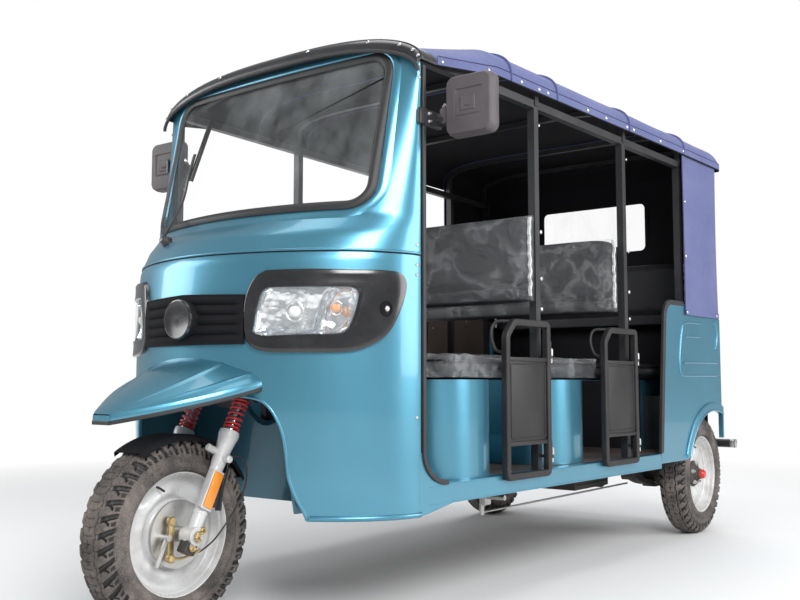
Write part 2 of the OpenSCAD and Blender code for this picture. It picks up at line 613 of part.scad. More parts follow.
// Roof frame: posts, side rails and bows of square tube, with the door hinge pins.
module roof_frame() color("#1b1b1c") recentre() {
    rail_z = roof_z - post_w - 29;
    at = function(y) y - front_pillar_y;
    both_sides() flank() {
        for (y = [pillar_1_y, pillar_2_y]) post(at(y) - post_w/2, floor_z + soft_gap, rail_z + 2);
        post(soft_gap, floor_z + 130, rail_z + 2);
        post(at(flap_y), floor_z + 300, rail_z + 2);
        post(at(corner_post_y), floor_z + 300, rail_z + 2);
        block([-post_x - post_w, soft_gap, rail_z], [-post_x, at(corner_post_y) + post_w, rail_z + post_w]);
        for (y = [pillar_1_y, pillar_2_y], z = hinge_z) hinge_pin(y, z);
    }
    for (y = [canopy_front_y + 13, pillar_1_y, pillar_2_y, flap_y + 14, corner_post_y + 12]) roof_bow(y);
    // cross tubes that carry the backrests
    for (y = [pillar_1_y - post_w/2, pillar_2_y - post_w/2, corner_post_y], z = [backrest_z + 30, backrest_z + backrest_h - 55])
        block([-roof_half(y) + post_w, y, z], [roof_half(y) - post_w, y + 24, z + 24]);
}

// One square post in the flank's frame.
module post(y, z0, z1) block([-post_x - post_w, y, z0], [-post_x, y + post_w, z1]);

// One roof bow: a flat arch under the canopy, down to the side rails.
module roof_bow(y) {
    section = function(a, drop) let (p = canopy_at(y - 12, a, drop)) [p.x, p.z];
    top = canopy_t + soft_gap + 0.3;
    slab_y(y - 12, y + 12) polygon(concat([for (a = [14:6.333:166]) section(a, top)],
                                          [for (a = [166:-6.333:14]) section(a, top + 22)]));
    leg_top = section(14, top)[1];
    for (s = [-1, 1]) block([s > 0 ? roof_half(y) - post_w - 10 : -roof_half(y) + 14, y - 12, roof_z - post_w - 20],
                            [s > 0 ? roof_half(y) - 14 : -roof_half(y) + post_w + 10, y + 12, leg_top]);
}

// One hinge pin of a door, on a lug that reaches out from behind its post.
module hinge_pin(y, z) translate([hinge_x, y - front_pillar_y + hinge_dy, z]) {
    inner = -hinge_x - post_x;
    cylinder(r = hinge_r, h = hinge_len, $fn = 32);
    translate([0, 0, -10]) cylinder(r = 9, h = 10, $fn = 32);
    block([inner - post_w, -20, -10], [inner, 4, 0]);
    block([inner - 1, -8, -10], [0, 4, 0]);
}

// Rear curtain: a fabric wall round the back with its window opening, and the side flaps.
module curtain_plan(inset) {
    r = 60 - inset;
    side = function(y) front_half + curtain_t + 1 + (y - front_pillar_y)*tan(taper) - inset;
    back = body_rear_y - inset;
    polygon(concat([[-side(flap_y), flap_y], [side(flap_y), flap_y]],
        arc([side(back - r) - r, back - r], r, 0, 90, 8),
        arc([-side(back - r) + r, back - r], r, 90, 180, 8)));
}
window_half = 292;
window_z = [roof_z - 363, roof_z - 117];
module rear_curtain() color("#34377a") recentre() difference() {
    translate([0, 0, flap_z]) linear_extrude(roof_z - flap_z - 5) difference() {
        curtain_plan(0);
        curtain_plan(curtain_t);
        translate([-900, flap_y - 10]) square([1800, 10 + curtain_t]);
    }
    slab_y(body_rear_y - 60, body_rear_y + 20)
        rounded([-window_half, window_z[0]], [window_half, window_z[1]], 30);
}

// Rear window: a clear film in the curtain's opening.
module rear_window() color("#dfeaee", 0.35) recentre()
    slab_y(body_rear_y - curtain_t + 1, body_rear_y - 1)
        rounded([-window_half + 0.3, window_z[0] + 0.3], [window_half - 0.3, window_z[1] - 0.3], 29.7);

// ---- rear body -------------------------------------------------------------

// Rear quarter panels with their wheel arches, a raised arch flare and a padded front edge.
quarter_top_z = 1052;
module quarter_panels() color("#2f8fae") recentre() both_sides() flank() {
    y0 = quarter_y - front_pillar_y;
    y1 = body_rear_y - front_pillar_y - 26;
    axle = wheelbase - front_pillar_y;
    low = floor_z - 40;
    difference() {
        union() {
            slab_x(-panel_t, 0) polygon(concat([[y0, low], [y1, low], [y1, flap_z - 2], [y1 - 38, flap_z - 2],
                [y1 - 38, quarter_top_z]],
                arc([y0 + 130, quarter_top_z - 70], 70, 90, 180, 8)));
            slab_x(-1, 9) intersection() {
                translate([axle, tyre_r]) circle(r = arch_r + 34, $fn = 72);
                translate([y0, low + 10]) square([y1 - y0 - 1, 600]);
            }
        }
        slab_x(-60, 60) intersection() {
            translate([axle, tyre_r]) circle(r = arch_r, $fn = 72);
            translate([y0, 0]) square([y1 - y0 - 14, 900]);
        }
        slab_x(-60, 60) translate([y1 - 100, 0]) square([200, floor_z + 40]);
    }
}

// Inner wheel wells: cheek and roof over each rear wheel.
module wheel_wells() color("#232426") recentre() for (s = [-1, 1]) {
    y0 = wheelbase - arch_r - 6;
    y1 = body_rear_y - 27;
    block([s > 0 ? 452 : -460, y0, floor_z - 60], [s > 0 ? 460 : -452, y1, 640]);
    block([s > 0 ? 452 : -590, y0, 632], [s > 0 ? 590 : -452, y1, 640]);
    block([s > 0 ? 452 : -590, y0, floor_z - 60], [s > 0 ? 590 : -452, y0 + 8, 640]);
}

// Rear panel: the flat tail between the quarter panels.
module rear_panel() color("#2f8fae") recentre() difference() {
    inset = curtain_t + soft_gap;
    front_edge = body_rear_y - 26 + soft_gap;
    translate([0, 0, floor_z - 40]) linear_extrude(quarter_top_z - floor_z) difference() {
        curtain_plan(inset);
        curtain_plan(inset + panel_t);
        translate([-900, flap_y - 10]) square([1800, front_edge - flap_y + 10]);
    }
    for (s = [-1, 1]) block([s > 0 ? 445 : -900, flap_y, 0], [s > 0 ? 900 : -445, body_rear_y + 50, 575]);
}

// Tail lamps: a tall lamp at each rear corner.
module tail_lamps() color("#a3252a") recentre() both_sides()
    slab_y(body_rear_y - curtain_t, body_rear_y + 18) rounded([490, 640], [580, 840], 18);

// Rear bumper: a tube across the back with two stays.
module rear_bumper() color("#1b1b1c") recentre() {
    r = 21;
    half = rear_half + 8;
    low = rail_top_z - rail_h;
    root = body_rear_y - 30 + soft_gap;
    bend = bumper_y - 90;
    translate([-half, bumper_y - r, floor_z + 4]) rotate([0, 90, 0]) cylinder(r = r, h = 2*half, $fn = 40);
    for (s = [-1, 1]) slab_x(s*rail_x - 20, s*rail_x + 20) polygon([
        [root, low + 2], [bend, low + 2], [bumper_y - 16, floor_z - 14], [bumper_y - 16, floor_z + 4],
        [bumper_y - 34, floor_z + 4], [bend - 10, low + 24], [root, low + 24]]);
}

// ---- seats -----------------------------------------------------------------

// A bench's plan outline with rounded ends, from its front edge back, grown by an amount.
module bench_plan(y, depth, grow, r) rounded(
    [-bench_w/2 - grow, y - grow], [bench_w/2 + grow, y + depth + grow], r + grow);

module seat_bases() color("#2f8fae") recentre() {
    for (i = [0, 1]) difference() {
        translate([0, 0, floor_z + 0.3]) linear_extrude(seat_base_z - floor_z - 0.3)
            bench_plan(bench_y[i], seat_depth, 0, 140);
        translate([0, 0, floor_z - 1]) linear_extrude(seat_base_z - floor_z - 20)
            bench_plan(bench_y[i], seat_depth, -12, 128);
        block([-281, bench_y[i] - 10, floor_z - 10], [281, bench_y[i] + seat_depth + 10, floor_z + 99]);
    }
    difference() {
        block([-450, bench_y[2], floor_z + 0.3], [450, bench_y[2] + 380, seat_base_z]);
        block([-438, bench_y[2] + 12, floor_z - 1], [438, bench_y[2] + 400, seat_base_z - 20]);
    }
}

module seat_cushions() color("#222225") recentre() {
    for (i = [0, 1]) translate([0, 0, seat_base_z + soft_gap]) linear_extrude(cushion_t)
        bench_plan(bench_y[i] - 16, seat_depth + 56, 0, 60);
    translate([0, 0, seat_base_z + soft_gap]) linear_extrude(cushion_t)
        rounded([-530, bench_y[2] - 16], [530, bench_y[2] + 385], 40);
}

module seat_backrests() color("#222225") recentre() for (i = [0:2]) {
    half = [bench_w/2 + 35, bench_w/2 + 38, bench_w/2 - 19][i];
    slab_y(backrest_y[i] - backrest_t, backrest_y[i])
        rounded([-half, backrest_z], [half, backrest_z + backrest_h], 30);
}

// ---- mirrors ---------------------------------------------------------------

module mirrors() color("#1d1d1e") recentre() both_sides() {
    arm_y = front_pillar_y + 93;
    arm_z = roof_z - 235;
    slab_y(arm_y - 25, arm_y + 25) rounded([front_half + 45, arm_z - 58], [front_half + 209, arm_z + 128], 26);
    translate([front_half + 8, arm_y, arm_z]) rotate([0, 90, 0]) cylinder(r = 9, h = 50, $fn = 24);
    block([front_half + soft_gap, front_pillar_y - 22, arm_z - 15], [front_half + 14, arm_y + 12, arm_z + 15]);
}

// ---- doors -----------------------------------------------------------------

// One half door in the flank's frame: a chamfered frame, a middle panel and hinge barrels.
module half_door(post_y) flank() translate([0, post_y - front_pillar_y + hinge_dy - door_clear - door_l, 0]) {
    chamfer = 46;
    top = door_top_z;
    low = door_bottom_z;
    axis_y = door_l + door_clear;
    difference() {
        union() {
            slab_x(door_x, door_x + door_t) difference() {
                polygon([[0, low], [door_l, low], [door_l, top], [chamfer, top], [0, top - chamfer*1.3]]);
                polygon([[door_bar, top - 135], [door_l - door_bar, top - 135], [door_l - door_bar, top - door_bar],
                         [chamfer + 12, top - door_bar], [door_bar, top - chamfer*1.3 - 10]]);
                polygon([[door_bar, low + door_bar], [door_l - door_bar, low + door_bar],
                         [door_l - door_bar, low + 118], [door_bar, low + 118]]);
            }
            for (z = hinge_z) {
                translate([hinge_x, axis_y, z + 1]) cylinder(r = 10, h = hinge_len - 2, $fn = 32);
                block([hinge_x - 6, door_l - 2, z + 1], [hinge_x + 6, axis_y - 6, z + hinge_len - 1]);
            }
        }
        for (z = hinge_z) translate([hinge_x, axis_y, z - 20])
            cylinder(r = hinge_r + running_gap, h = hinge_len + 40, $fn = 32);
    }
}

module front_left_door() color("#242226") recentre() half_door(pillar_1_y);
module rear_left_door() color("#242226") recentre() half_door(pillar_2_y);
module front_right_door() color("#242226") recentre() mirror([1, 0, 0]) half_door(pillar_1_y);
module rear_right_door() color("#242226") recentre() mirror([1, 0, 0]) half_door(pillar_2_y);

chassis_frame();
floor_pan();
side_sills();
nose_shell();
windscreen_glass();
windscreen_seal();
front_wheel_well();
beak_fender();
headlamp_bezels();
headlamp_lenses();
front_grille();
roof_visor();
mirrors();
roof_frame();
canopy();
rear_curtain();
rear_window();
quarter_panels();
wheel_wells();
rear_panel();
tail_lamps();
rear_bumper();
seat_bases();
seat_cushions();
seat_backrests();
engine_block();
rear_axle();
brake_linkage();
steering_stem();
handlebar();
fork_legs();
fork_springs();
front_axle();
front_mudguard();
front_tyre();
front_rim();
rear_left_tyre();
rear_left_rim();
rear_right_tyre();
rear_right_rim();
front_left_door();
rear_left_door();
front_right_door();
rear_right_door();
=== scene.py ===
"""Looks for the auto rickshaw: fine surfaces, soft pieces, trim, materials, camera and studio."""
import math
import bmesh
import bpy
import numpy as np
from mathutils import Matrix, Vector


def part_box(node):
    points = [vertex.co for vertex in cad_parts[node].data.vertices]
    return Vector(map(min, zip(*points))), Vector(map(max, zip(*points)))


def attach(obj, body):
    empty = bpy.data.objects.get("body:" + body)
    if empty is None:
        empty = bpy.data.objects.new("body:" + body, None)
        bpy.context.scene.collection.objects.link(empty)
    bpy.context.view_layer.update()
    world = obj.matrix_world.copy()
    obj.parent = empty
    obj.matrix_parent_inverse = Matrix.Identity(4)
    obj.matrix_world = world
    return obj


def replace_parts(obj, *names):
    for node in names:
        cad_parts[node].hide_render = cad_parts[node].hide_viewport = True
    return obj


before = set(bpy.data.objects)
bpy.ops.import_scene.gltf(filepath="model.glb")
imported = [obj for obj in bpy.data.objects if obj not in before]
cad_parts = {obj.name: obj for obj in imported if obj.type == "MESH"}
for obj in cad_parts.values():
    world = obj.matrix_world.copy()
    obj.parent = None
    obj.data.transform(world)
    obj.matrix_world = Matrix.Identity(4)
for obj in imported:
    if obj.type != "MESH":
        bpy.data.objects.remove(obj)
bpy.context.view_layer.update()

# ---- sizes taken from the frame ---------------------------------------------

def middle(node):
    """The middle of a CAD node's box."""
    low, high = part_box(node)
    return np.array((low + high)/2)


def high(node):
    """The highest corner of a CAD node's box."""
    return np.array(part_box(node)[1])


def low(node):
    """The lowest corner of a CAD node's box."""
    return np.array(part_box(node)[0])


FRONT_HUB = middle("front_tyre")
REAR_HUB = middle("rear_left_tyre")
AXLE_Y = FRONT_HUB[1]                          # stations are counted from the front axle
TYRE_R = (high("front_tyre")[2] - low("front_tyre")[2])/2
TYRE_HALF = (high("front_tyre")[0] - low("front_tyre")[0])/2
WHEELBASE = REAR_HUB[1] - AXLE_Y
REAR_X = REAR_HUB[0]
NOSE_HALF = high("nose_shell")[0]
NOSE_LOW = low("nose_shell")[2]
PILLAR_Y = high("nose_shell")[1] - AXLE_Y      # station where the nose ends
PANEL = 0.012                                  # thickness of the nose's wall
ROOF_Z = high("rear_curtain")[2] + 0.005
ROOF_TOP = high("canopy")[2]
CANOPY_FRONT = low("canopy")[1] - AXLE_Y
CANOPY_BACK = high("canopy")[1] - AXLE_Y
VISOR_FRONT = low("roof_visor")[1] - AXLE_Y
BODY_BACK = high("rear_curtain")[1] - AXLE_Y
FLAP_Y = low("rear_curtain")[1] - AXLE_Y
FLAP_Z = low("rear_curtain")[2]
QUARTER_TOP = high("quarter_panels")[2]
FLOOR_Z = high("floor_pan")[2]
SILL_FLAT = FLOOR_Z - 0.098                    # the sills' flat top
TAPER = math.atan((0.668 - 0.569)/(2.800 - 0.447))   # the flanks widen towards the rear
POST_1, POST_2 = 1.136, 1.816                  # stations of the posts behind each gate
RAKE = math.radians(26)                        # the steering axis's lean


# ---- meshes from arrays -----------------------------------------------------

class Form:
    """Vertices with faces of three or four corners, joined with +."""

    def __init__(self, points, faces):
        self.points = np.asarray(points, float).reshape(-1, 3)
        self.faces = [np.asarray(f, int) for f in faces if len(f)]

    def __add__(self, other):
        shift = len(self.points)
        return Form(np.vstack([self.points, other.points]), self.faces + [f + shift for f in other.faces])

    def move(self, x, y, z):
        """The form shifted by a distance."""
        return Form(self.points + (x, y, z), self.faces)

    def turn(self, axis, degrees):
        """The form turned about one axis through the origin."""
        a = math.radians(degrees)
        c, s = math.cos(a), math.sin(a)
        matrix = {"x": [[1, 0, 0], [0, c, -s], [0, s, c]], "y": [[c, 0, s], [0, 1, 0], [-s, 0, c]],
                  "z": [[c, -s, 0], [s, c, 0], [0, 0, 1]]}[axis]
        return Form(self.points @ np.array(matrix).T, self.faces)

    def mirror(self):
        """The form on the other side of the centre plane, with its faces turned back outwards."""
        return Form(self.points*(-1, 1, 1), [f[:, ::-1] for f in self.faces])

    def both(self):
        """The form and its mirror image."""
        return self + self.mirror()

    def bend(self, function):
        """The form with a function applied to its points."""
        return Form(function(self.points), self.faces)


def total(forms):
    """Several forms as one."""
    forms = list(forms)
    whole = forms[0]
    for form in forms[1:]:
        whole = whole + form
    return whole


def grid(points, round_u=False, round_v=False):
    """A surface of quads over points[i, j]; round_u or round_v joins the last row to the first."""
    nu, nv = points.shape[:2]
    index = np.arange(nu*nv).reshape(nu, nv)
    if round_u:
        index = np.vstack([index, index[:1]])
    if round_v:
        index = np.hstack([index, index[:, :1]])
    quads = np.stack([index[:-1, :-1], index[1:, :-1], index[1:, 1:], index[:-1, 1:]], -1).reshape(-1, 4)
    return Form(points, [quads])


def shell(outer, inner, round_u=False):
    """A closed wall between two surfaces over the same grid, joined along their edges."""
    nu, nv = outer.shape[:2]
    n = nu*nv
    index = np.arange(n).reshape(nu, nv)
    if round_u:
        index = np.vstack([index, index[:1]])
    quads = np.stack([index[:-1, :-1], index[1:, :-1], index[1:, 1:], index[:-1, 1:]], -1).reshape(-1, 4)

    def wall(edge):
        return np.stack([edge[:-1], edge[1:], edge[1:] + n, edge[:-1] + n], -1)

    walls = [wall(index[:, 0])[:, ::-1], wall(index[:, -1])]
    if not round_u:
        walls += [wall(index[0]), wall(index[-1])[:, ::-1]]
    return Form(np.vstack([outer.reshape(-1, 3), inner.reshape(-1, 3)]), [quads, quads[:, ::-1] + n] + walls)


def sweep(path, section, closed=False, up=(0, 0, 1)):
    """A profile carried along a path: each ring is the section turned square to the path, with
    its first axis sideways and its second towards up."""
    path = np.asarray(path, float)
    ahead = np.roll(path, -1, 0) - np.roll(path, 1, 0) if closed else np.gradient(path, axis=0)
    ahead /= np.linalg.norm(ahead, axis=1)[:, None] + 1e-12
    side = np.cross(ahead, np.broadcast_to(np.asarray(up, float), path.shape))
    side /= np.linalg.norm(side, axis=1)[:, None] + 1e-12
    lift = np.cross(side, ahead)
    section = np.asarray(section, float)
    points = path[:, None] + side[:, None]*section[None, :, :1] + lift[:, None]*section[None, :, 1:]
    body = grid(points, round_u=closed, round_v=True)
    if closed:
        return body
    m = len(section)
    last = (len(path) - 1)*m
    ring = np.arange(m)
    caps = np.vstack([path[:1], path[-1:]])
    first_cap = np.stack([np.full(m, len(body.points)), ring, np.roll(ring, -1)], -1)
    last_cap = np.stack([np.full(m, len(body.points) + 1), last + np.roll(ring, -1), last + ring], -1)
    return Form(np.vstack([body.points, caps]), body.faces + [first_cap, last_cap])


def spread(line, n):
    """A line's points set evenly along it, and its length."""
    along = np.concatenate([[0], np.cumsum(np.linalg.norm(np.diff(line, axis=0), axis=1))])
    even = np.linspace(0, along[-1], n)
    return np.stack([np.interp(even, along, line[:, k]) for k in (0, 1)], -1), along[-1]


def bowed(x, power):
    """A power of each number's size, with its sign kept: the run of a superellipse."""
    return np.sign(x)*np.abs(x)**power


def circle(r, n=16):
    """A circle of n points."""
    a = np.arange(n)*2*np.pi/n
    return np.stack([r*np.cos(a), r*np.sin(a)], -1)


def tube(path, r, n=14, closed=False, up=(0, 0, 1)):
    """A round tube along a path."""
    return sweep(path, circle(r, n), closed, up)


def curve(points, n=60):
    """A smooth line through a few points: a Catmull-Rom spline, evenly spread in its parameter."""
    p = np.asarray(points, float)
    p = np.vstack([2*p[0] - p[1], p, 2*p[-1] - p[-2]])
    s = np.linspace(0, len(p) - 3 - 1e-9, n)
    i = s.astype(int)
    f = (s - i)[:, None]
    a, b, c, d = p[i], p[i + 1], p[i + 2], p[i + 3]
    return 0.5*(2*b + (c - a)*f + (2*a - 5*b + 4*c - d)*f**2 + (3*b - a - 3*c + d)*f**3)


def lathe(profile, n=48):
    """A profile of (radius, height) turned about the z axis; radii of nothing close to a point."""
    profile = np.asarray(profile, float)
    a = np.arange(n)*2*np.pi/n
    points = np.stack([profile[:, :1]*np.cos(a), profile[:, :1]*np.sin(a),
                       np.broadcast_to(profile[:, 1:], (len(profile), n))], -1)
    return grid(points, round_v=True)


def rounded_outline(half_w, half_h, r, n=10):
    """A rectangle with round corners about the origin, counted anticlockwise."""
    parts = []
    for i, (sx, sy) in enumerate([(1, 1), (-1, 1), (-1, -1), (1, -1)]):
        a = np.linspace(0, np.pi/2, n) + i*np.pi/2
        parts.append(np.stack([sx*(half_w - r) + r*np.cos(a), sy*(half_h - r) + r*np.sin(a)], -1))
    return np.vstack(parts)


def plate(outline, z0, z1, bevel=0.0):
    """A flat plate of an outline, with its edges bevelled, from z0 to z1."""
    outline = np.asarray(outline, float)
    centre = outline.mean(0)
    reach = np.linalg.norm(outline - centre, axis=1)[:, None]
    inner = centre + (outline - centre)*(1 - bevel/reach)
    rings = [(centre + 0*outline, z0), (inner, z0), (outline, z0 + bevel), (outline, z1 - bevel), (inner, z1),
             (centre + 0*outline, z1)]
    points = np.stack([np.hstack([ring, np.full((len(ring), 1), z)]) for ring, z in rings])
    return grid(points, round_v=True)


def block(lo, hi, bevel=0.002):
    """A box from corner to corner with bevelled edges."""
    lo, hi = np.minimum(lo, hi), np.maximum(lo, hi)
    size = hi - lo
    form = plate(rounded_outline(size[0]/2, size[1]/2, bevel, 3), 0, size[2], bevel*0.6)
    return form.move((lo[0] + hi[0])/2, (lo[1] + hi[1])/2, lo[2])


def station(x, y, z):
    """Points given by width, station from the front axle, and height."""
    x, y, z = np.broadcast_arrays(x, y, z)
    return np.stack([x, y + AXLE_Y, z], -1).astype(float)


def cleaned(build, mesh, near, flat):
    """Joins doubled points, drops flat faces, turns faces outwards, and writes the mesh."""
    bmesh.ops.remove_doubles(build, verts=build.verts, dist=near)
    bmesh.ops.dissolve_degenerate(build, edges=build.edges, dist=flat)
    bmesh.ops.recalc_face_normals(build, faces=build.faces)
    build.to_mesh(mesh)
    build.free()


def read(things, key, width=1, kind=float):
    """One property of a mesh's vertices, loops or faces as an array."""
    values = np.empty(len(things)*width, kind)
    things.foreach_get(key, values)
    return values.reshape(-1, width) if width > 1 else values


def make(name, form, body, material, smooth=35):
    """Makes the object: joins doubled points, turns faces outwards and smooths up to an angle."""
    mesh = bpy.data.meshes.new(name)
    mesh.vertices.add(len(form.points))
    mesh.vertices.foreach_set("co", form.points.ravel())
    corners = np.concatenate([f.ravel() for f in form.faces])
    sizes = np.concatenate([np.full(len(f), f.shape[1]) for f in form.faces])
    mesh.loops.add(len(corners))
    mesh.loops.foreach_set("vertex_index", corners)
    mesh.polygons.add(len(sizes))
    mesh.polygons.foreach_set("loop_start", np.concatenate([[0], np.cumsum(sizes)[:-1]]))
    mesh.update(calc_edges=True)
    build = bmesh.new()
    build.from_mesh(mesh)
    cleaned(build, mesh, 2e-6, 1e-7)
    mesh.validate()
    mesh.shade_smooth()
    mesh.set_sharp_from_angle(angle=math.radians(smooth))
    mesh.materials.append(material)
    obj = bpy.data.objects.new(name, mesh)
    bpy.context.scene.collection.objects.link(obj)
    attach(obj, body)
    return obj


def line_inside(obj, material, core_z):
    """Gives the faces that look towards the vehicle's middle line at a height their own material."""
    mesh = obj.data
    mesh.materials.append(material)
    centres, normals = read(mesh.polygons, "center", 3), read(mesh.polygons, "normal", 3)
    core = station(0, np.minimum(centres[:, 1] - AXLE_Y, BODY_BACK - 0.3), core_z)
    inward = ((core - centres)*normals).sum(1) > 0
    mesh.polygons.foreach_set("material_index", inward.astype(np.int32))
    mesh.update()


def cut(obj, form):
    """Takes a closed form out of an object."""
    tool = bpy.data.objects.new("cutter", bpy.data.meshes.new("cutter"))
    bpy.context.scene.collection.objects.link(tool)
    build = bmesh.new()
    verts = [build.verts.new(p) for p in form.points]
    for faces in form.faces:
        for face in faces:
            if len(set(face)) == len(face):
                build.faces.new([verts[i] for i in face])
    cleaned(build, tool.data, 1e-6, 1e-7)
    modifier = obj.modifiers.new("cut", "BOOLEAN")
    modifier.operation = "DIFFERENCE"
    modifier.solver = "EXACT"
    modifier.object = tool
    finished = bpy.data.meshes.new_from_object(obj.evaluated_get(bpy.context.evaluated_depsgraph_get()))
    obj.modifiers.remove(modifier)
    obj.data = finished
    finished.shade_smooth()
    finished.set_sharp_from_angle(angle=math.radians(35))
    bpy.data.objects.remove(tool)


def prism_y(outline, y0, y1):
    """A closed prism of an (x, z) outline between two stations."""
    outline = np.asarray(outline, float)
    centre = outline.mean(0)
    rings = [(centre + 0*outline, y0), (outline, y0), (outline, y1), (centre + 0*outline, y1)]
    return grid(np.stack([station(ring[:, 0], y, ring[:, 1]) for ring, y in rings]), round_v=True)


# ---- shader expressions -----------------------------------------------------

class Value:
    """A number in a node tree; the operators add Math nodes to it."""

    def __init__(self, paint, socket):
        self.paint, self.socket = paint, socket

    def math(self, operation, *others):
        """One Math node on this value and others."""
        return self.paint.node("Math", {"operation": operation}, *((self,) + others))

    def __add__(self, other):
        return self.math("ADD", other)

    def __sub__(self, other):
        return self.math("SUBTRACT", other)

    def __mul__(self, other):
        return self.math("MULTIPLY", other)

    def __truediv__(self, other):
        return self.math("DIVIDE", other)

    def __pow__(self, other):
        return self.math("POWER", other)

    def __rsub__(self, other):
        return self.paint.node("Math", {"operation": "SUBTRACT"}, other, self)

    def __rtruediv__(self, other):
        return self.paint.node("Math", {"operation": "DIVIDE"}, other, self)

    __radd__ = __add__
    __rmul__ = __mul__

    def clamp(self):
        """The value kept between 0 and 1."""
        return self.paint.node("Clamp", {}, self)

    def above(self, edge, width):
        """0 below an edge and 1 above it, over a width."""
        return ((self - edge)/width + 0.5).clamp()


class Paint:
    """A material under construction, with its Principled shader."""

    def __init__(self, name, color, roughness=0.5, metallic=0.0, **fixed):
        self.material = bpy.data.materials.new(name)
        self.material.use_nodes = True
        self.tree = self.material.node_tree
        self.shader = self.tree.nodes["Principled BSDF"]
        self.place = Value(self, self.tree.nodes.new("ShaderNodeTexCoord").outputs["Object"])
        self.color = (*color, 1)
        self.set("Base Color", self.color)
        self.set("Roughness", roughness)
        self.set("Metallic", metallic)
        for key, value in fixed.items():
            self.set(key.replace("_", " "), value)

    def set(self, key, value):
        """Sets or links one socket of the shader."""
        self.feed(self.shader.inputs[key], value)

    def feed(self, socket, value):
        """Sets or links any socket."""
        if isinstance(value, Value):
            self.tree.links.new(value.socket, socket)
        else:
            socket.default_value = value

    def node(self, kind, settings, *values, out=0, **named):
        """Adds a node with its settings and the values or links of its sockets."""
        node = self.tree.nodes.new("ShaderNode" + kind)
        for key, value in settings.items():
            if key == "stops":
                ramp = node.color_ramp
                while len(ramp.elements) < len(value):
                    ramp.elements.new(0.5)
                for element, (position, color) in zip(ramp.elements, value):
                    element.position = position
                    element.color = color if len(color) == 4 else (*color, 1)
            else:
                setattr(node, key, value)
        for socket, value in zip(node.inputs, values):
            self.feed(socket, value)
        for key, value in named.items():
            self.feed(node.inputs[key.replace("_", " ")], value)
        return Value(self, node.outputs[out])

    def noise(self, scale, detail=3, rough=0.5, stretch=(1, 1, 1)):
        """Soft noise over the piece, with its scale per metre and a stretch along each axis."""
        place = self.node("VectorMath", {"operation": "MULTIPLY"}, self.place, stretch)
        return self.node("TexNoise", {}, Vector=place, Scale=scale, Detail=detail, Roughness=rough)

    def axis(self, name):
        """One coordinate of the place on the object, in metres."""
        return self.node("SeparateXYZ", {}, self.place, out="XYZ".index(name))

    def blend(self, factor, first, second):
        """A colour between two, by a factor."""
        mix = self.tree.nodes.new("ShaderNodeMix")
        mix.data_type = "RGBA"
        for index, value in ((0, factor), (6, first), (7, second)):
            if isinstance(value, tuple) and len(value) == 3:
                value = (*value, 1)
            self.feed(mix.inputs[index], value)
        return Value(self, mix.outputs[2])

    def bump(self, height, distance, strength=1.0):
        """Relief of a height field, in metres."""
        self.set("Normal", self.node("Bump", {}, Height=height, Distance=distance, Strength=strength))


def toned(color, factor, lift=0.0):
    """A colour with its parts multiplied and lifted."""
    return tuple(min(1, factor*c + lift) for c in color)


def teal_paint(name="teal metallic", deep=1.0):
    """Metallic lacquer: fine flakes in the colour and a faint orange peel."""
    # deep below 1 darkens the whole colour: a copy of the paint with painted shade
    color = toned((0.085, 0.285, 0.395), deep)
    paint = Paint(name, color, 0.33, 0.70, Coat_Weight=0.6, Coat_Roughness=0.06)
    flakes = paint.noise(900, 1, 0.7)
    cloud = paint.noise(3.2, 3)
    paint.set("Base Color", paint.blend((cloud*0.5 + flakes*0.5).above(0.5, 0.7), toned(color, 0.86),
                                        toned(color, 1.16)))
    paint.set("Roughness", flakes*0.10 + cloud*0.08 + 0.25)
    paint.bump(paint.noise(160, 2)*0.6 + cloud*0.4, 0.00018)
    return paint.material


def black_paint(name, color, roughness, relief=0.0002, metallic=0.0, coat=0.0):
    """Painted steel: slightly uneven gloss, light dust and small rubbed spots."""
    paint = Paint(name, color, roughness, metallic, Coat_Weight=coat, Coat_Roughness=0.15)
    cloud = paint.noise(9, 4, 0.6)
    spots = paint.noise(140, 2, 0.7).above(0.70, 0.06)
    dusty = paint.blend(cloud.above(0.55, 0.3)*0.35, color, toned(color, 1, 0.028))
    paint.set("Base Color", paint.blend(spots*0.5, dusty, toned(color, 1, 0.07)))
    paint.set("Roughness", cloud*0.22 + roughness - 0.10)
    paint.bump(paint.noise(260, 3), relief)
    return paint.material


def white_paint(name="white enamel"):
    """Silver-white enamel on pressed steel: dirt in soft patches, faint runs of grime."""
    paint = Paint(name, (0.62, 0.62, 0.62), 0.30, 0.0, Coat_Weight=0.35, Coat_Roughness=0.12)
    grime = (paint.noise(16, 5, 0.65)*paint.noise(4, 2)*2.2).above(0.62, 0.35)
    paint.set("Base Color", paint.blend(grime*0.6, (0.62, 0.62, 0.62), (0.36, 0.34, 0.32)))
    paint.set("Roughness", grime*0.3 + 0.26)
    paint.bump(paint.noise(120, 3), 0.00018)
    return paint.material


def plated(name, color, roughness, metallic=1.0):
    """Plated steel: brushed fine lines and cloudy tarnish."""
    paint = Paint(name, color, roughness, metallic)
    cloud = paint.noise(30, 4, 0.6)
    lines = paint.noise(500, 2, 0.6, (1, 1, 0.08))
    paint.set("Base Color", paint.blend(cloud.above(0.55, 0.4)*0.6, color, toned(color, 0.62)))
    paint.set("Roughness", cloud*0.25 + lines*0.1 + roughness - 0.15)
    paint.bump(lines, 0.00006)
    return paint.material


def cast_metal(name, color):
    """Cast or oily dark metal: coarse grain, brown dust in soft patches."""
    paint = Paint(name, color, 0.7, 0.3)
    cloud = paint.noise(14, 5, 0.65)
    paint.set("Base Color", paint.blend(cloud.above(0.52, 0.25)*0.7, color, (0.13, 0.105, 0.08)))
    paint.set("Roughness", cloud*0.3 + 0.52)
    paint.bump(paint.noise(420, 4, 0.7), 0.0006)
    return paint.material


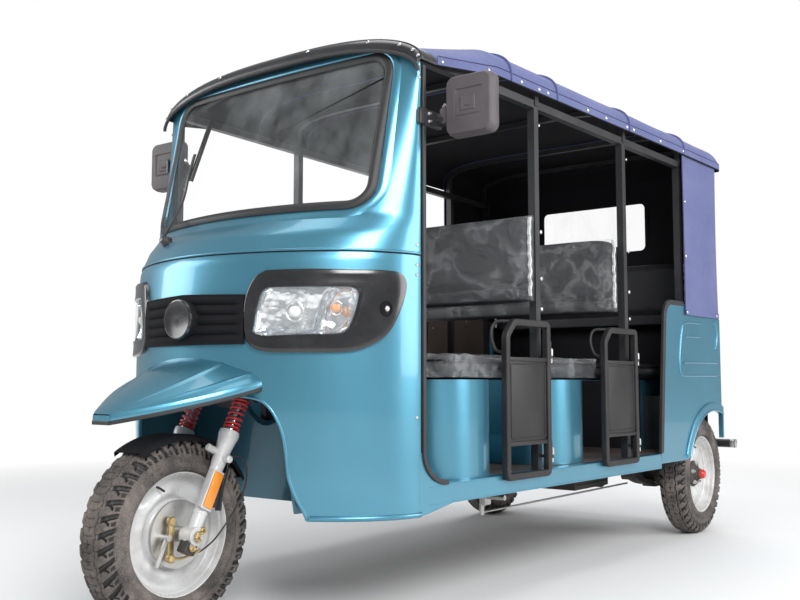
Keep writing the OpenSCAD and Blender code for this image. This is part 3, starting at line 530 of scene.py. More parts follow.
def tyre_rubber():
    """Tyre rubber: dusty brown-grey bloom on dark rubber; the tread's grooves take a darker rubber of their
    own, which is painted shade in them.
    """
    paint = Paint("tyre rubber", (0.040, 0.036, 0.034), 0.82)
    cloud = paint.noise(12, 5, 0.7)
    fine = paint.noise(240, 3, 0.7)
    dust = (cloud*0.6 + fine*0.4).above(0.50, 0.22)
    paint.set("Base Color", paint.blend(dust*0.75, (0.036, 0.033, 0.032), (0.235, 0.200, 0.180)))
    paint.set("Roughness", fine*0.2 + 0.68)
    paint.bump(fine*0.7 + cloud*0.3, 0.0005)
    return paint.material


def rubber(name="black rubber", color=(0.022, 0.022, 0.023)):
    """Plain black rubber trim: soft sheen with a fine grain."""
    paint = Paint(name, color, 0.55)
    cloud = paint.noise(22, 3)
    paint.set("Base Color", paint.blend(cloud, toned(color, 0.7), toned(color, 1.5)))
    paint.set("Roughness", cloud*0.2 + 0.42)
    paint.bump(paint.noise(600, 2), 0.00012)
    return paint.material


def grained(name, color, roughness=0.5, scale=420, depth=0.0004):
    """Moulded plastic or vinyl with a leather-like grain: round cells of a Voronoi pattern."""
    paint = Paint(name, color, roughness, Specular_IOR_Level=0.25)
    cells = paint.node("TexVoronoi", {}, Vector=paint.place, Scale=scale)
    cloud = paint.noise(8, 4)
    paint.set("Base Color", paint.blend(cloud, toned(color, 0.75), toned(color, 1.45)))
    paint.set("Roughness", cloud*0.16 + cells*0.12 + roughness - 0.12)
    paint.bump(cells*0.7 + paint.noise(90, 3)*0.3, depth)
    return paint.material


def canvas(name, color, wear):
    """Coated canvas: a plain weave of crossed threads at 1.1 mm, faded along folds, soft creases."""
    paint = Paint(name, color, 0.72, 0.0, Sheen_Weight=0.12, Sheen_Roughness=0.5)
    threads = 2*math.pi/0.0022
    x, y, z = (paint.axis(n) for n in "XYZ")
    warp = (y*threads).math("SINE")
    weft = ((x + z)*threads).math("SINE")
    weave = (warp*weft)*0.5 + 0.5
    folds = paint.noise(5, 5, 0.6, (1, 0.6, 1))
    fade = (folds*0.7 + paint.noise(60, 3)*0.3).above(0.52, 0.35)
    base = paint.blend(fade*0.7, color, wear)
    paint.set("Base Color", paint.blend(weave*0.35, base, toned(color, 0.72)))
    paint.set("Roughness", weave*0.12 + 0.66)
    paint.bump(weave*0.12 + folds*0.88, 0.0035, 0.8)
    return paint.material


def clear(name, tint, alpha, roughness=0.04):
    """Clear pane: a see-through glossy film with a faint tint and smears of dust."""
    paint = Paint(name, tint, roughness, 0.0, IOR=1.45, Specular_IOR_Level=0.5)
    smear = paint.noise(7, 5, 0.65, (1, 1, 0.4)).above(0.58, 0.3)
    paint.set("Alpha", smear*0.06 + alpha)
    paint.set("Roughness", smear*0.15 + roughness)
    paint.bump(paint.noise(6, 2), 0.0002)
    paint.material.surface_render_method = "BLENDED"
    return paint.material


def lamp_glass():
    """Lamp cover: clear with fine flutes cast in it."""
    paint = Paint("lamp cover", (0.95, 0.97, 0.98), 0.05, 0.0, Coat_Weight=0.6, Coat_Roughness=0.03)
    flutes = (paint.axis("X")*(2*math.pi/0.011)).math("SINE")*0.5 + 0.5
    paint.set("Alpha", flutes*0.05 + 0.13)
    paint.bump(flutes, 0.0004, 0.6)
    paint.material.surface_render_method = "BLENDED"
    return paint.material


def mirror_metal(name="reflector chrome"):
    """Vacuum-plated reflector with soft facets."""
    paint = Paint(name, (0.86, 0.87, 0.88), 0.12, 1.0)
    facets = paint.node("TexVoronoi", {"feature": "F1"}, Vector=paint.place, Scale=46)
    paint.set("Roughness", facets*0.15 + 0.08)
    paint.set("Base Color", paint.blend(facets.above(0.55, 0.5), (0.90, 0.91, 0.92), (0.58, 0.60, 0.62)))
    paint.bump(facets, 0.0030, 0.7)
    return paint.material


def film():
    """Thin clear wrapping: nearly see-through, with painted highlights along its creases, where more of its
    whitish colour shows.
    """
    paint = Paint("clear wrap", (0.62, 0.64, 0.66), 0.16, 0.0, Specular_IOR_Level=0.7)
    bent = paint.node("VectorMath", {"operation": "MULTIPLY_ADD"}, paint.place, (1, 1, 1),
                      paint.node("VectorMath", {"operation": "SCALE"},
                                 paint.node("TexNoise", {}, Vector=paint.place, Scale=7.0, Detail=2.0, out=1),
                                 Scale=0.13))
    ridge = paint.node("TexNoise", {}, Vector=bent, Scale=6.5, Detail=3.0, Roughness=0.5)
    crease = 1 - ((ridge - 0.5).math("ABSOLUTE")*9).clamp()
    crease = crease**3
    # more of the whitish film shows along the creases: painted highlight
    paint.set("Alpha", crease*0.10 + 0.05)
    paint.set("Roughness", 0.30 - crease*0.12)
    paint.bump(ridge*0.7 + crease*0.3, 0.006, 0.7)
    paint.material.surface_render_method = "BLENDED"
    return paint.material


def floor_mat():
    """Ribbed rubber mat: ribs along the vehicle, lighter on their tops and darker between them, which is
    painted shade, and dust in random patches.
    """
    paint = Paint("floor mat", (0.06, 0.045, 0.04), 0.8)
    ribs = (paint.axis("X")*(2*math.pi/0.014)).math("SINE")*0.5 + 0.5
    dust = paint.noise(20, 5, 0.65)
    # colour follows the ribs, lighter on their tops and darker between them: painted shade; the noise adds
    # dust in patches
    paint.set("Base Color", paint.blend((ribs*0.4 + dust*0.6).above(0.5, 0.4), (0.035, 0.028, 0.026),
                                        (0.11, 0.085, 0.07)))
    paint.set("Roughness", dust*0.2 + 0.66)
    paint.bump(ribs*0.8 + dust*0.2, 0.0016)
    return paint.material


def coloured(name, color, roughness, coat=0.4, cells=0, depth=0.0006):
    """Coloured enamel or lamp plastic, with moulded cells where cells is not 0."""
    paint = Paint(name, color, roughness, 0.0, Coat_Weight=coat, Coat_Roughness=0.08)
    cloud = paint.noise(40, 3)
    paint.set("Base Color", paint.blend(cloud, toned(color, 0.82), toned(color, 1.15)))
    paint.set("Roughness", cloud*0.14 + roughness - 0.06)
    if cells:
        pattern = paint.node("TexVoronoi", {}, Vector=paint.place, Scale=cells)
        paint.bump(pattern, depth)
    else:
        paint.bump(paint.noise(220, 2), 0.0001)
    return paint.material


TEAL = teal_paint()
# the teal darkened to 0.42: painted shade for the inside of the front wheel well
TEAL_PAINTED_SHADE = teal_paint("teal painted shade", 0.42)
FRAME_BLACK = black_paint("frame black", (0.020, 0.020, 0.022), 0.42)
CAP_BLACK = black_paint("cap black", (0.018, 0.018, 0.020), 0.30, 0.0003, 0.0, 0.4)
PIANO = black_paint("gloss black", (0.012, 0.012, 0.013), 0.20, 0.00008, 0.0, 0.6)
WHITE = white_paint()
ZINC = plated("zinc plate", (0.62, 0.61, 0.59), 0.42)
GOLD = plated("yellow zinc", (0.62, 0.47, 0.24), 0.40)
CHROME = plated("chrome", (0.80, 0.80, 0.81), 0.22)
CAST = cast_metal("dark casting", (0.045, 0.045, 0.048))
TYRE = tyre_rubber()
# darker rubber for the tread's sunk faces: painted shade in the grooves
GROOVE_SHADE = rubber("tread groove painted shade", (0.012, 0.011, 0.011))
RUBBER = rubber()
PLASTIC = grained("grained plastic", (0.032, 0.032, 0.035), 0.50, 700, 0.0003)
VINYL = grained("seat vinyl", (0.022, 0.022, 0.025), 0.42, 360, 0.0004)
CANVAS = canvas("blue canvas", (0.070, 0.088, 0.235), (0.140, 0.160, 0.330))
LINING = grained("black lining", (0.006, 0.006, 0.008), 0.85, 420, 0.0001)
PANE = clear("window pane", (0.90, 0.95, 0.97), 0.025)
LAMP = lamp_glass()
REFLECTOR = mirror_metal()
FILM = film()
MAT = floor_mat()
RED = coloured("spring red", (0.60, 0.030, 0.035), 0.30)
ORANGE = coloured("amber reflector", (0.90, 0.30, 0.03), 0.22, 0.6, 420)
LAMP_RED = coloured("lamp red", (0.52, 0.015, 0.02), 0.18, 0.7, 300)
LAMP_WHITE = coloured("bulb glass", (0.85, 0.85, 0.82), 0.12, 0.6)

# ---- body surfaces shared by several pieces ---------------------------------

NOSE_POWER = 1.85
NOSE_STEPS = np.array([[NOSE_LOW, 0.095], [0.420, 0.062], [0.600, 0.048], [0.950, 0.048], [1.060, 0.062],
                       [1.087, 0.078], [1.140, 0.120], [1.200, 0.205], [ROOF_Z + 0.032, 0.443]])
CROWN = ROOF_TOP - ROOF_Z


def nose_depth(z):
    """Station of the nose's middle line: straight steps averaged over a short window of heights,
    wide low down and narrow at the crease under the windscreen."""
    z = np.asarray(z, float)
    window = 0.045 - 0.037*np.clip((z - 0.98)/0.06, 0, 1)
    shifts = np.linspace(-1, 1, 11)
    weights = 1.05 - np.abs(shifts)
    weights /= weights.sum()
    return sum(w*np.interp(z + s*window, NOSE_STEPS[:, 0], NOSE_STEPS[:, 1]) for s, w in zip(shifts, weights))


def nose_point(turn, z, out=0.0):
    """A point of the nose at a plan angle and height, set out from its surface: a superellipse in
    plan between the front pillars, whose depth follows the middle line."""
    turn, z = np.broadcast_arrays(turn, z)
    side, ahead = np.cos(turn), np.abs(np.sin(turn))
    x = (NOSE_HALF + out)*bowed(side, 2/NOSE_POWER)
    return station(x, PILLAR_Y - (PILLAR_Y - nose_depth(z) + out)*ahead**(2/NOSE_POWER), z)


def nose_front(x, z, out=0.0):
    """Station of the nose's surface at a width and height: the same superellipse solved for depth."""
    share = np.clip(np.abs(x)/(NOSE_HALF + out), 0, 1)**NOSE_POWER
    return PILLAR_Y - (PILLAR_Y - nose_depth(z) + out)*(1 - share)**(1/NOSE_POWER)


def on_nose(outline, out):
    """An (x, z) outline laid on the nose at a height off its surface."""
    outline = np.asarray(outline, float)
    return station(outline[..., 0], nose_front(outline[..., 0], outline[..., 1], out), outline[..., 1])


def nose_turn(x):
    """The plan angle at which the nose is x wide of the middle."""
    return math.acos((x/NOSE_HALF)**(NOSE_POWER/2))


def flare(y):
    """How much wider the body is on each side at a station than at the front pillars."""
    return (y - PILLAR_Y)*math.tan(TAPER)


def roof_half(y):
    """Half width of the roof at a station: it widens with the body's taper."""
    return NOSE_HALF + 0.014 + flare(y)


def flank(out, back, z):
    """Points on the left flank: out from its plane, back from the front pillar, height."""
    out, back, z = np.broadcast_arrays(out, back, z)
    return station(NOSE_HALF + out*math.cos(TAPER) + back*math.sin(TAPER),
                   PILLAR_Y - out*math.sin(TAPER) + back*math.cos(TAPER), z)


def flank_form(form):
    """A form drawn as (out, back, z) set on the left flank."""
    return form.bend(lambda p: flank(p[:, 0], p[:, 1], p[:, 2]))


def ripples(points, length, seed, count=9):
    """Smooth unevenness of about one: sines of a wavelength in seeded directions, added up."""
    random = np.random.default_rng(seed)
    directions = random.normal(size=(count, 3))
    directions /= np.linalg.norm(directions, axis=1)[:, None]
    phases = random.uniform(0, 2*np.pi, count)
    lengths = length*random.uniform(0.7, 1.5, count)
    waves = np.sin(points.reshape(-1, 3) @ directions.T*(2*np.pi/lengths) + phases).sum(1)/math.sqrt(count)
    return waves.reshape(points.shape[:-1])


def snap_heads(places, axes, r=0.0065):
    """Domed snap fasteners at places, facing along one direction or one each."""
    head = lathe([(0, 0.0032), (r*0.5, 0.0029), (r*0.85, 0.0018), (r, 0.0), (r*0.9, -0.001), (0, -0.001)], 16)
    forms = []
    for place, axis in zip(places, np.broadcast_to(np.asarray(axes, float), (len(places), 3))):
        axis = axis/np.linalg.norm(axis)
        helper = np.array([0, 0, 1.0]) if abs(axis[2]) < 0.9 else np.array([0, 1.0, 0])
        side = np.cross(helper, axis)
        side /= np.linalg.norm(side)
        turned = head.points @ np.stack([side, np.cross(axis, side), axis])
        forms.append(Form(turned + place, head.faces))
    return total(forms)


# ---- nose -------------------------------------------------------------------

SCREEN_HALF, SCREEN_R = NOSE_HALF - 0.091, 0.070
SCREEN_LOW, SCREEN_HIGH = 1.222, ROOF_Z - 0.023
SCREEN_MID = (SCREEN_LOW + SCREEN_HIGH)/2


def screen_outline(grow, n=22):
    """The windscreen's rounded rectangle, grown all round."""
    outline = rounded_outline(SCREEN_HALF + grow, (SCREEN_HIGH - SCREEN_LOW)/2 + grow, SCREEN_R + grow, n)
    return spread(np.vstack([outline, outline[:1]]), 321)[0][:-1] + (0, SCREEN_MID)


MOUTH_SIDE = np.array([[0.378, 0.250], [0.362, 0.325], [0.343, 0.380], [0.330, 0.440], [0.325, 0.510],
                       [0.314, 0.575], [0.285, 0.632], [0.235, 0.660], [0.100, 0.668]])


def mouth_outline():
    """The wheel's mouth: a smooth curve up one side, over the top and down the other."""
    points = np.vstack([MOUTH_SIDE, MOUTH_SIDE[::-1]*(-1, 1)])
    return curve(points, 120)


def nose_skin():
    """The nose: superellipses in plan piled from the bottom edge to the roof, with a wall's thickness."""
    turn = np.linspace(0, np.pi, 171)[:, None]
    share = np.concatenate([np.linspace(0, 0.52, 62), np.linspace(0.525, 0.57, 14), np.linspace(0.58, 1, 60)])
    top = ROOF_Z - 0.070 + 0.102*np.sin(turn)**0.8
    z = NOSE_LOW + (top - NOSE_LOW)*share[None, :]
    skin = make("nose_skin", shell(nose_point(turn, z), nose_point(turn, z, -PANEL)), "body", TEAL)
    cut(skin, prism_y(screen_outline(0.0), -0.3, 0.7))
    cut(skin, prism_y(mouth_outline(), -0.3, 0.30))
    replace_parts(skin, "nose_shell")


def ring_on_nose(outlines, outs):
    """A closed ring whose section runs through grown outlines at heights off the nose."""
    return grid(np.stack([on_nose(o, h) for o, h in zip(outlines, outs)], 1), round_u=True, round_v=True)


def windscreen():
    """The pane, its rubber seal with a locking strip, and the raised lip pressed round it."""
    share = np.sin(np.linspace(0, np.pi/2, 26))[:, None, None]
    outline = screen_outline(-0.002)[None]
    centre = np.array([0, SCREEN_MID])
    disc = centre + (outline - centre)*share
    pane = make("windscreen_pane", shell(on_nose(disc, -0.004), on_nose(disc, -0.008)), "body",
                PANE)
    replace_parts(pane, "windscreen_glass")
    angle = np.linspace(0, 2*np.pi, 15)[:-1]
    grow = [-0.003 + 0.0135*math.cos(a) for a in angle]
    strip = [0.002 if math.sin(a) > 0 and abs(math.cos(a)) < 0.5 else 0 for a in angle]
    outs = [0.0035 + 0.0065*math.sin(a) + h for a, h in zip(angle, strip)]
    seal = make("screen_seal", ring_on_nose([screen_outline(g) for g in grow], outs), "body", RUBBER)
    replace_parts(seal, "windscreen_seal")
    lip = [(0.008, -0.003), (0.011, 0.003), (0.018, 0.006), (0.026, 0.0055), (0.034, 0.0025), (0.042, -0.003)]
    make("screen_lip", ring_on_nose([screen_outline(g) for g, _ in lip], [h for _, h in lip]), "body",
         TEAL, 60)


def nose_trim():
    """Rolled beads along the nose's crease and bottom edge, the mouth's edge and the side screws."""
    turn = np.linspace(0.01, np.pi - 0.01, 160)
    make("crease_bead", tube(nose_point(turn, 1.084, -0.0010), 0.0042, 10), "body", TEAL, 60)
    make("crease_seam", tube(nose_point(turn, 1.0785, 0.0004), 0.0018, 8), "body", LINING, 60)
    clear_of_mouth = nose_turn(0.372)
    side = np.linspace(0.004, clear_of_mouth, 50)
    foot = total(tube(nose_point(s, NOSE_LOW + 0.009), 0.0075, 12) for s in (side, np.pi - side))
    make("bottom_bead", foot, "body", TEAL, 60)
    mouth = mouth_outline()
    mouth = mouth[mouth[:, 1] > NOSE_LOW + 0.003]
    make("mouth_bead", tube(on_nose(mouth, -0.002), 0.0055, 10, up=(0, 1, 0)), "body", TEAL,
         60)
    places = [nose_point(0.06, z) for z in (1.109, 1.048, 1.019, 0.60, 1.62)]
    screws = snap_heads(places, (1, -0.15, 0), 0.0055)
    make("side_screws", screws.both(), "body", ZINC)


def door_opening_trim():
    """Black rubber strip up the rear edge of the nose, down into the sill's round corner."""
    corner = 0.095
    rise = np.linspace(ROOF_Z - 0.075, SILL_FLAT + corner, 40)
    angle = np.linspace(np.pi, 1.5*np.pi, 16)[1:]
    back = np.concatenate([0.012 + 0*rise, 0.012 + corner + 0.020 + (corner + 0.020)*np.cos(angle)])
    height = np.concatenate([rise, SILL_FLAT + corner + 0.004 + corner*np.sin(angle)])
    strip = sweep(flank(0, back, height), rounded_outline(0.0075, 0.0075, 0.003, 4), up=(1, 0, 0))
    make("opening_trim", strip.both(), "body", RUBBER)



def beak():
    """Beak fender: its plan is a blunt arrow, its top a dome that breaks into two flat facets
    towards a short upright skirt; it stops where it meets the nose."""
    half = 0.268
    tip, root = low("beak_fender")[1] - AXLE_Y + 0.026, 0.150
    share = np.linspace(0, 1, 111)[None, :]
    across = np.linspace(-1, 1, 121)[:, None]
    plan = half*np.sin(np.pi/2*np.minimum(1, 0.06 + share*1.05))**0.85
    y = tip + (root - tip)*share + 0.060*share*across**2
    width = plan*across
    off = np.abs(across)
    dome = 1 - 0.26*np.minimum(off/0.56, 1)**2
    facet = 0.42*np.clip((off - 0.56)/0.34, 0, 1)
    skirt = 0.32*np.clip((off - 0.90)/0.10, 0, 1)
    ridges = sum(np.exp(-((off - place)/0.022)**2) for place in (0.55, 0.90))*0.0035
    z = (0.617 + 0.118*share + 0.092*share**0.85*(dome - facet - skirt)
         + ridges*np.clip((share - 0.12)*4, 0, 1))
    y = np.minimum(y, nose_front(width, z) + 0.004)
    top = station(width, y, z)
    outer = make("beak_plate", shell(top, top - (0, 0, 0.003)), "body", TEAL, 50)
    drop = np.linspace(0, 1, 6)[None, :, None]
    sides = []
    for row, sign in ((0, -1), (-1, 1)):
        edge = top[row]
        wall = edge[:, None]*(1 - drop) + (edge - (0, 0, 0.022))[:, None]*drop
        wall[..., 0] += np.sin(np.pi*drop[..., 0])*0.003*sign
        sides.append(shell(wall, wall - (0.0025*sign, 0, 0)))
    front = top[:, 0][:, None] - drop*(0, 0, 0.022)
    sides.append(shell(front, front + (0, 0.003, 0)))
    make("beak_skirt", total(sides), "body", TEAL, 50)
    loop = np.vstack([top[0][::-1], top[1:-1, 0], top[-1]]) - (0, 0, 0.0235)
    make("beak_lip", sweep(loop, rounded_outline(0.0035, 0.0055, 0.002, 4)), "body", RUBBER)
    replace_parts(outer, "beak_fender")


def bezel_outline(n=160):
    """The lamp surround in plan angle (degrees) and height: a long shape with a drawn-out outer top."""
    corners = [(60.0, 1.0245), (48.0, 1.0265), (33.0, 1.0255), (20.0, 1.0255), (13.5, 1.0195), (10.4, 0.995),
               (10.9, 0.955), (14.2, 0.897), (17.8, 0.852), (22.2, 0.821), (29.5, 0.795), (36.0, 0.787),
               (48.0, 0.786), (58.5, 0.788), (63.2, 0.801), (65.4, 0.826), (66.2, 0.880), (65.9, 0.938),
               (64.4, 0.985), (62.6, 1.010)]
    return curve(corners + corners[:1], n + 1)[:-1]


def lens_outline(n=160):
    """The lamp's cover inside the surround, in plan angle and height."""
    corners = [(58.5, 0.9715), (48.5, 0.9735), (40.0, 0.9735), (33.0, 0.9730), (30.2, 0.9600), (30.6, 0.9240),
               (32.4, 0.8760), (34.4, 0.8520), (37.8, 0.8420), (48.0, 0.8395), (58.5, 0.8370), (62.8, 0.8450),
               (62.9, 0.8660), (61.8, 0.9230), (60.6, 0.9580)]
    return curve(corners + corners[:1], n + 1)[:-1]


LAMP_MID = (46.0, 0.905)                       # plan angle and height of a lamp's middle


def counted_round(outline):
    """The outline's points in the order of their angle about the lamp's middle; a degree in plan
    counts as 1/300 m."""
    away = outline - LAMP_MID
    return outline[np.argsort(np.unwrap(np.arctan2(away[:, 1]*300, away[:, 0])) % (2*np.pi))]


def wrap_lamp(points, out):
    """Points in plan angle (degrees) and height laid on the nose's left corner."""
    return nose_point(np.radians(points[..., 0]), points[..., 1], out)


def headlamps():
    """Surround, reflector bowls, bulbs, divider and cover of each lamp."""
    outer, inner = counted_round(bezel_outline()), counted_round(lens_outline())
    steps = [(0.0, -0.003), (0.004, 0.006), (0.03, 0.0115), (0.10, 0.0135), (0.35, 0.0125), (0.70, 0.0115),
             (0.90, 0.0125), (0.965, 0.0120), (0.99, 0.0085), (1.0, -0.010)]
    rows = np.stack([wrap_lamp(outer + (inner - outer)*s, h) for s, h in steps], 1)
    surround = grid(rows, round_u=True)
    bezel = make("lamp_surround", surround.both(), "body", PIANO, 40)
    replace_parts(bezel, "headlamp_bezels")
    share = np.linspace(0, 1, 30)[None, :, None]
    disc = inner[:, None]*(1 - share) + np.array(LAMP_MID)*share
    cover = make("lamp_cover", grid(wrap_lamp(disc, 0.0075), round_u=True).both(), "body", LAMP,
                 60)
    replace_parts(cover, "headlamp_lenses")
    hole = np.concatenate([wrap_lamp(disc[:, ::-1], 0.020), wrap_lamp(disc, -0.020)], 1)
    cut(bpy.data.objects["nose_skin"], grid(hole, round_u=True).both())
    depth = -0.010 - 0.045*np.sqrt(np.clip(1 - (1 - share[..., 0])**2, 0, 1)) + 0*disc[..., 0]
    split = np.exp(-((disc[..., 0] - 40.5 + (disc[..., 1] - 0.905)*34)/1.3)**2)
    depth = depth + 0.040*split*np.clip(share[..., 0]*6, 0, 1)
    make("lamp_reflector", grid(wrap_lamp(disc, depth), round_u=True).both(), "body", REFLECTOR,
         60)
    bulbs = []
    for turn, z, r in ((50.5, 0.905, 0.017), (37.0, 0.915, 0.013)):
        ball = lathe([(r*math.sin(a), -r*math.cos(a)*1.2) for a in np.linspace(0, np.pi, 16)], 24)
        place = wrap_lamp(np.array([turn, z]), -0.018)
        bulbs.append(ball.turn("x", 90).move(*place))
    make("lamp_bulbs", bulbs[0].both(), "body", LAMP_WHITE)
    make("turn_bulbs", bulbs[1].both(), "body", ORANGE)
    shades = []
    for turn, z, r in ((50.5, 0.905, 0.028), (37.0, 0.915, 0.020)):
        ring = circle(r, 40)
        loop = np.stack([turn + ring[:, 0]*95, z + ring[:, 1]], -1)
        shades.append(tube(wrap_lamp(loop, -0.012), 0.0022, 8, True))
    make("lamp_rings", total(shades).both(), "body", CHROME)
    dish = circle(0.019, 40)

    def cup(steps):
        """Rings round a screw cup's middle, by share of its radius and height."""
        return grid(np.stack([wrap_lamp(np.stack([20.0 + dish[:, 0]*105*s, 0.913 + dish[:, 1]*s], -1), h)
                              for s, h in steps], 1), round_u=True).both()

    make("sensor_cups", cup([(1.25, 0.0118), (1.12, 0.0155), (1.0, 0.0150), (0.92, 0.0125), (0.0, 0.0122)]),
         "body", LINING)
    make("sensor_bolts", cup([(0.42, 0.0120), (0.40, 0.0165), (0.22, 0.0180), (0.0, 0.0180)]), "body", ZINC)


def grille():
    """The panel between the lamps: a rim, slats that lean forward, and a round cover on the horn."""
    half = 0.213
    turn = np.linspace(nose_turn(half), np.pi - nose_turn(half), 90)[:, None]
    share = np.linspace(0, 1, 31)[None, :]
    z = 0.812 + (0.150 - 0.018*np.abs(np.cos(turn)))*share
    edge = np.minimum(1, np.minimum(share, 1 - share)*14)
    edge = edge*np.minimum(1, np.minimum(turn - turn[0], turn[-1] - turn)*16)
    slats = np.abs(np.sin(share*np.pi*5))**0.7*0.010
    out = 0.012 - 0.010*edge + slats*edge
    panel = make("grille_panel", shell(nose_point(turn, z, out), nose_point(turn, z, -0.003)), "body",
                 LINING, 40)
    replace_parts(panel, "front_grille")
    horn = lathe([(0, 0.030), (0.004, 0.030), (0.005, 0.028), (0.050, 0.0270), (0.0545, 0.0285),
                  (0.0580, 0.0270), (0.0600, 0.0200), (0.0600, -0.010), (0, -0.010)], 64)
    make("horn_cover", horn.turn("x", 90).move(*station(0, nose_front(0, 0.888) - 0.006, 0.888)), "body",
         PIANO)


def wiper():
    """Wiper: a spindle at the screen's foot, a sprung arm and a bowed blade with its rubber."""
    x0, z0 = -0.245, 1.155
    spindle = station(x0, nose_front(x0, z0, 0.004), z0)
    boss = lathe([(0, 0.030), (0.010, 0.028), (0.013, 0.020), (0.017, 0.014), (0.021, 0.0), (0, 0)], 24)
    xs = np.array([x0, x0 - 0.020, x0 - 0.034, x0 - 0.040])
    zs = np.array([z0, 1.290, 1.400, 1.480])
    arm = curve(station(xs, nose_front(xs, zs, 0.030), zs), 40)
    zb = np.linspace(1.385, 1.610, 40)
    xb = x0 - 0.036 + 0.012*(zb - 1.385)/0.225
    blade = station(xb, nose_front(xb, zb, 0.0185), zb)
    rubber_line = station(xb, nose_front(xb, zb, 0.0085), zb)
    arm, blade, lip = (sweep(path, rounded_outline(*section, 3), up=(0, -1, 0)) for path, section in
                       ((arm, (0.006, 0.0028, 0.0015)), (blade, (0.0042, 0.0035, 0.0015)),
                        (rubber_line, (0.0022, 0.005, 0.001))))
    make("wiper_arm", boss.turn("x", 68).move(*spindle) + arm + blade, "body", CAP_BLACK)
    make("wiper_rubber", lip, "body", RUBBER)


nose_skin()
windscreen()
nose_trim()
door_opening_trim()
beak()
headlamps()
grille()
wiper()

# ---- roof -------------------------------------------------------------------

BOWS = [CANOPY_FRONT + 0.013, POST_1, POST_2, FLAP_Y + 0.014, BODY_BACK - 0.048]
ROLL = 0.055                                   # radius of the roof's rear edge
ARCH_DROP, ARCH_RISE = 0.062, 0.117            # the front arch's foot below the roof's edge, its height
GROWTH = 0.330                                 # length over which the arch becomes the full section
ARCH_POWERS, FULL_POWERS = (0.77, 0.97), (0.36, 0.62)   # of each section's width and height


def roof_angle(t):
    """Section angle for a share of the way from the middle, closer together at the shoulders."""
    return np.pi/2*(1 - np.abs(t))**1.5


def full_edge(y):
    """Height of the full section's lower edge, which rises a little towards the back."""
    return ROOF_Z - 0.015*np.maximum(0, 1 - (y - PILLAR_Y)/1.850)


def roof_edge(y):
    """Height of the roof's lower edge: the arch's foot at the front, rising along the side."""
    share = np.clip((y - CANOPY_FRONT)/GROWTH, 0, 1)
    return (1 - share)*(ROOF_Z - ARCH_DROP) + share*full_edge(y)


def roof_point(t, y, drop=0.0):
    """A point of the roof: an arch over the windscreen grows into a full, square-shouldered
    section; each is a superellipse of its own powers, and the two are mixed along the length."""
    t, y = np.broadcast_arrays(t, y)
    a = roof_angle(t)
    c, s = np.sign(t)*np.cos(a), np.sin(a)
    half = roof_half(y) - drop
    share = np.clip((y - CANOPY_FRONT)/GROWTH, 0, 1)
    arch_z = ROOF_Z - ARCH_DROP + (ARCH_RISE - drop)*s**ARCH_POWERS[1]
    full_z = full_edge(y) + (CROWN - drop)*s**FULL_POWERS[1]
    x = half*((1 - share)*bowed(c, ARCH_POWERS[0]) + share*bowed(c, FULL_POWERS[0]))
    return station(x, y, (1 - share)*arch_z + share*full_z)


def canopy_surface(t, y, drop=0.0):
    """The canopy: the roof's shape with a slight sag between bows and soft pulls."""
    t, y = np.broadcast_arrays(t, y)
    sag = np.zeros_like(y)
    for a, b in zip(BOWS[:-1], BOWS[1:]):
        inside = (y > a) & (y < b)
        sag = np.where(inside, np.sin(np.pi*np.clip((y - a)/(b - a), 0, 1))**2, sag)
    top = np.clip(np.sin(roof_angle(t)), 0, 1)
    points = roof_point(t, y, drop)
    wave = ripples(points*(1, 0.7, 1), 0.32, 5)*0.0012
    points[..., 2] += (wave - 0.0022*sag)*top
    return points


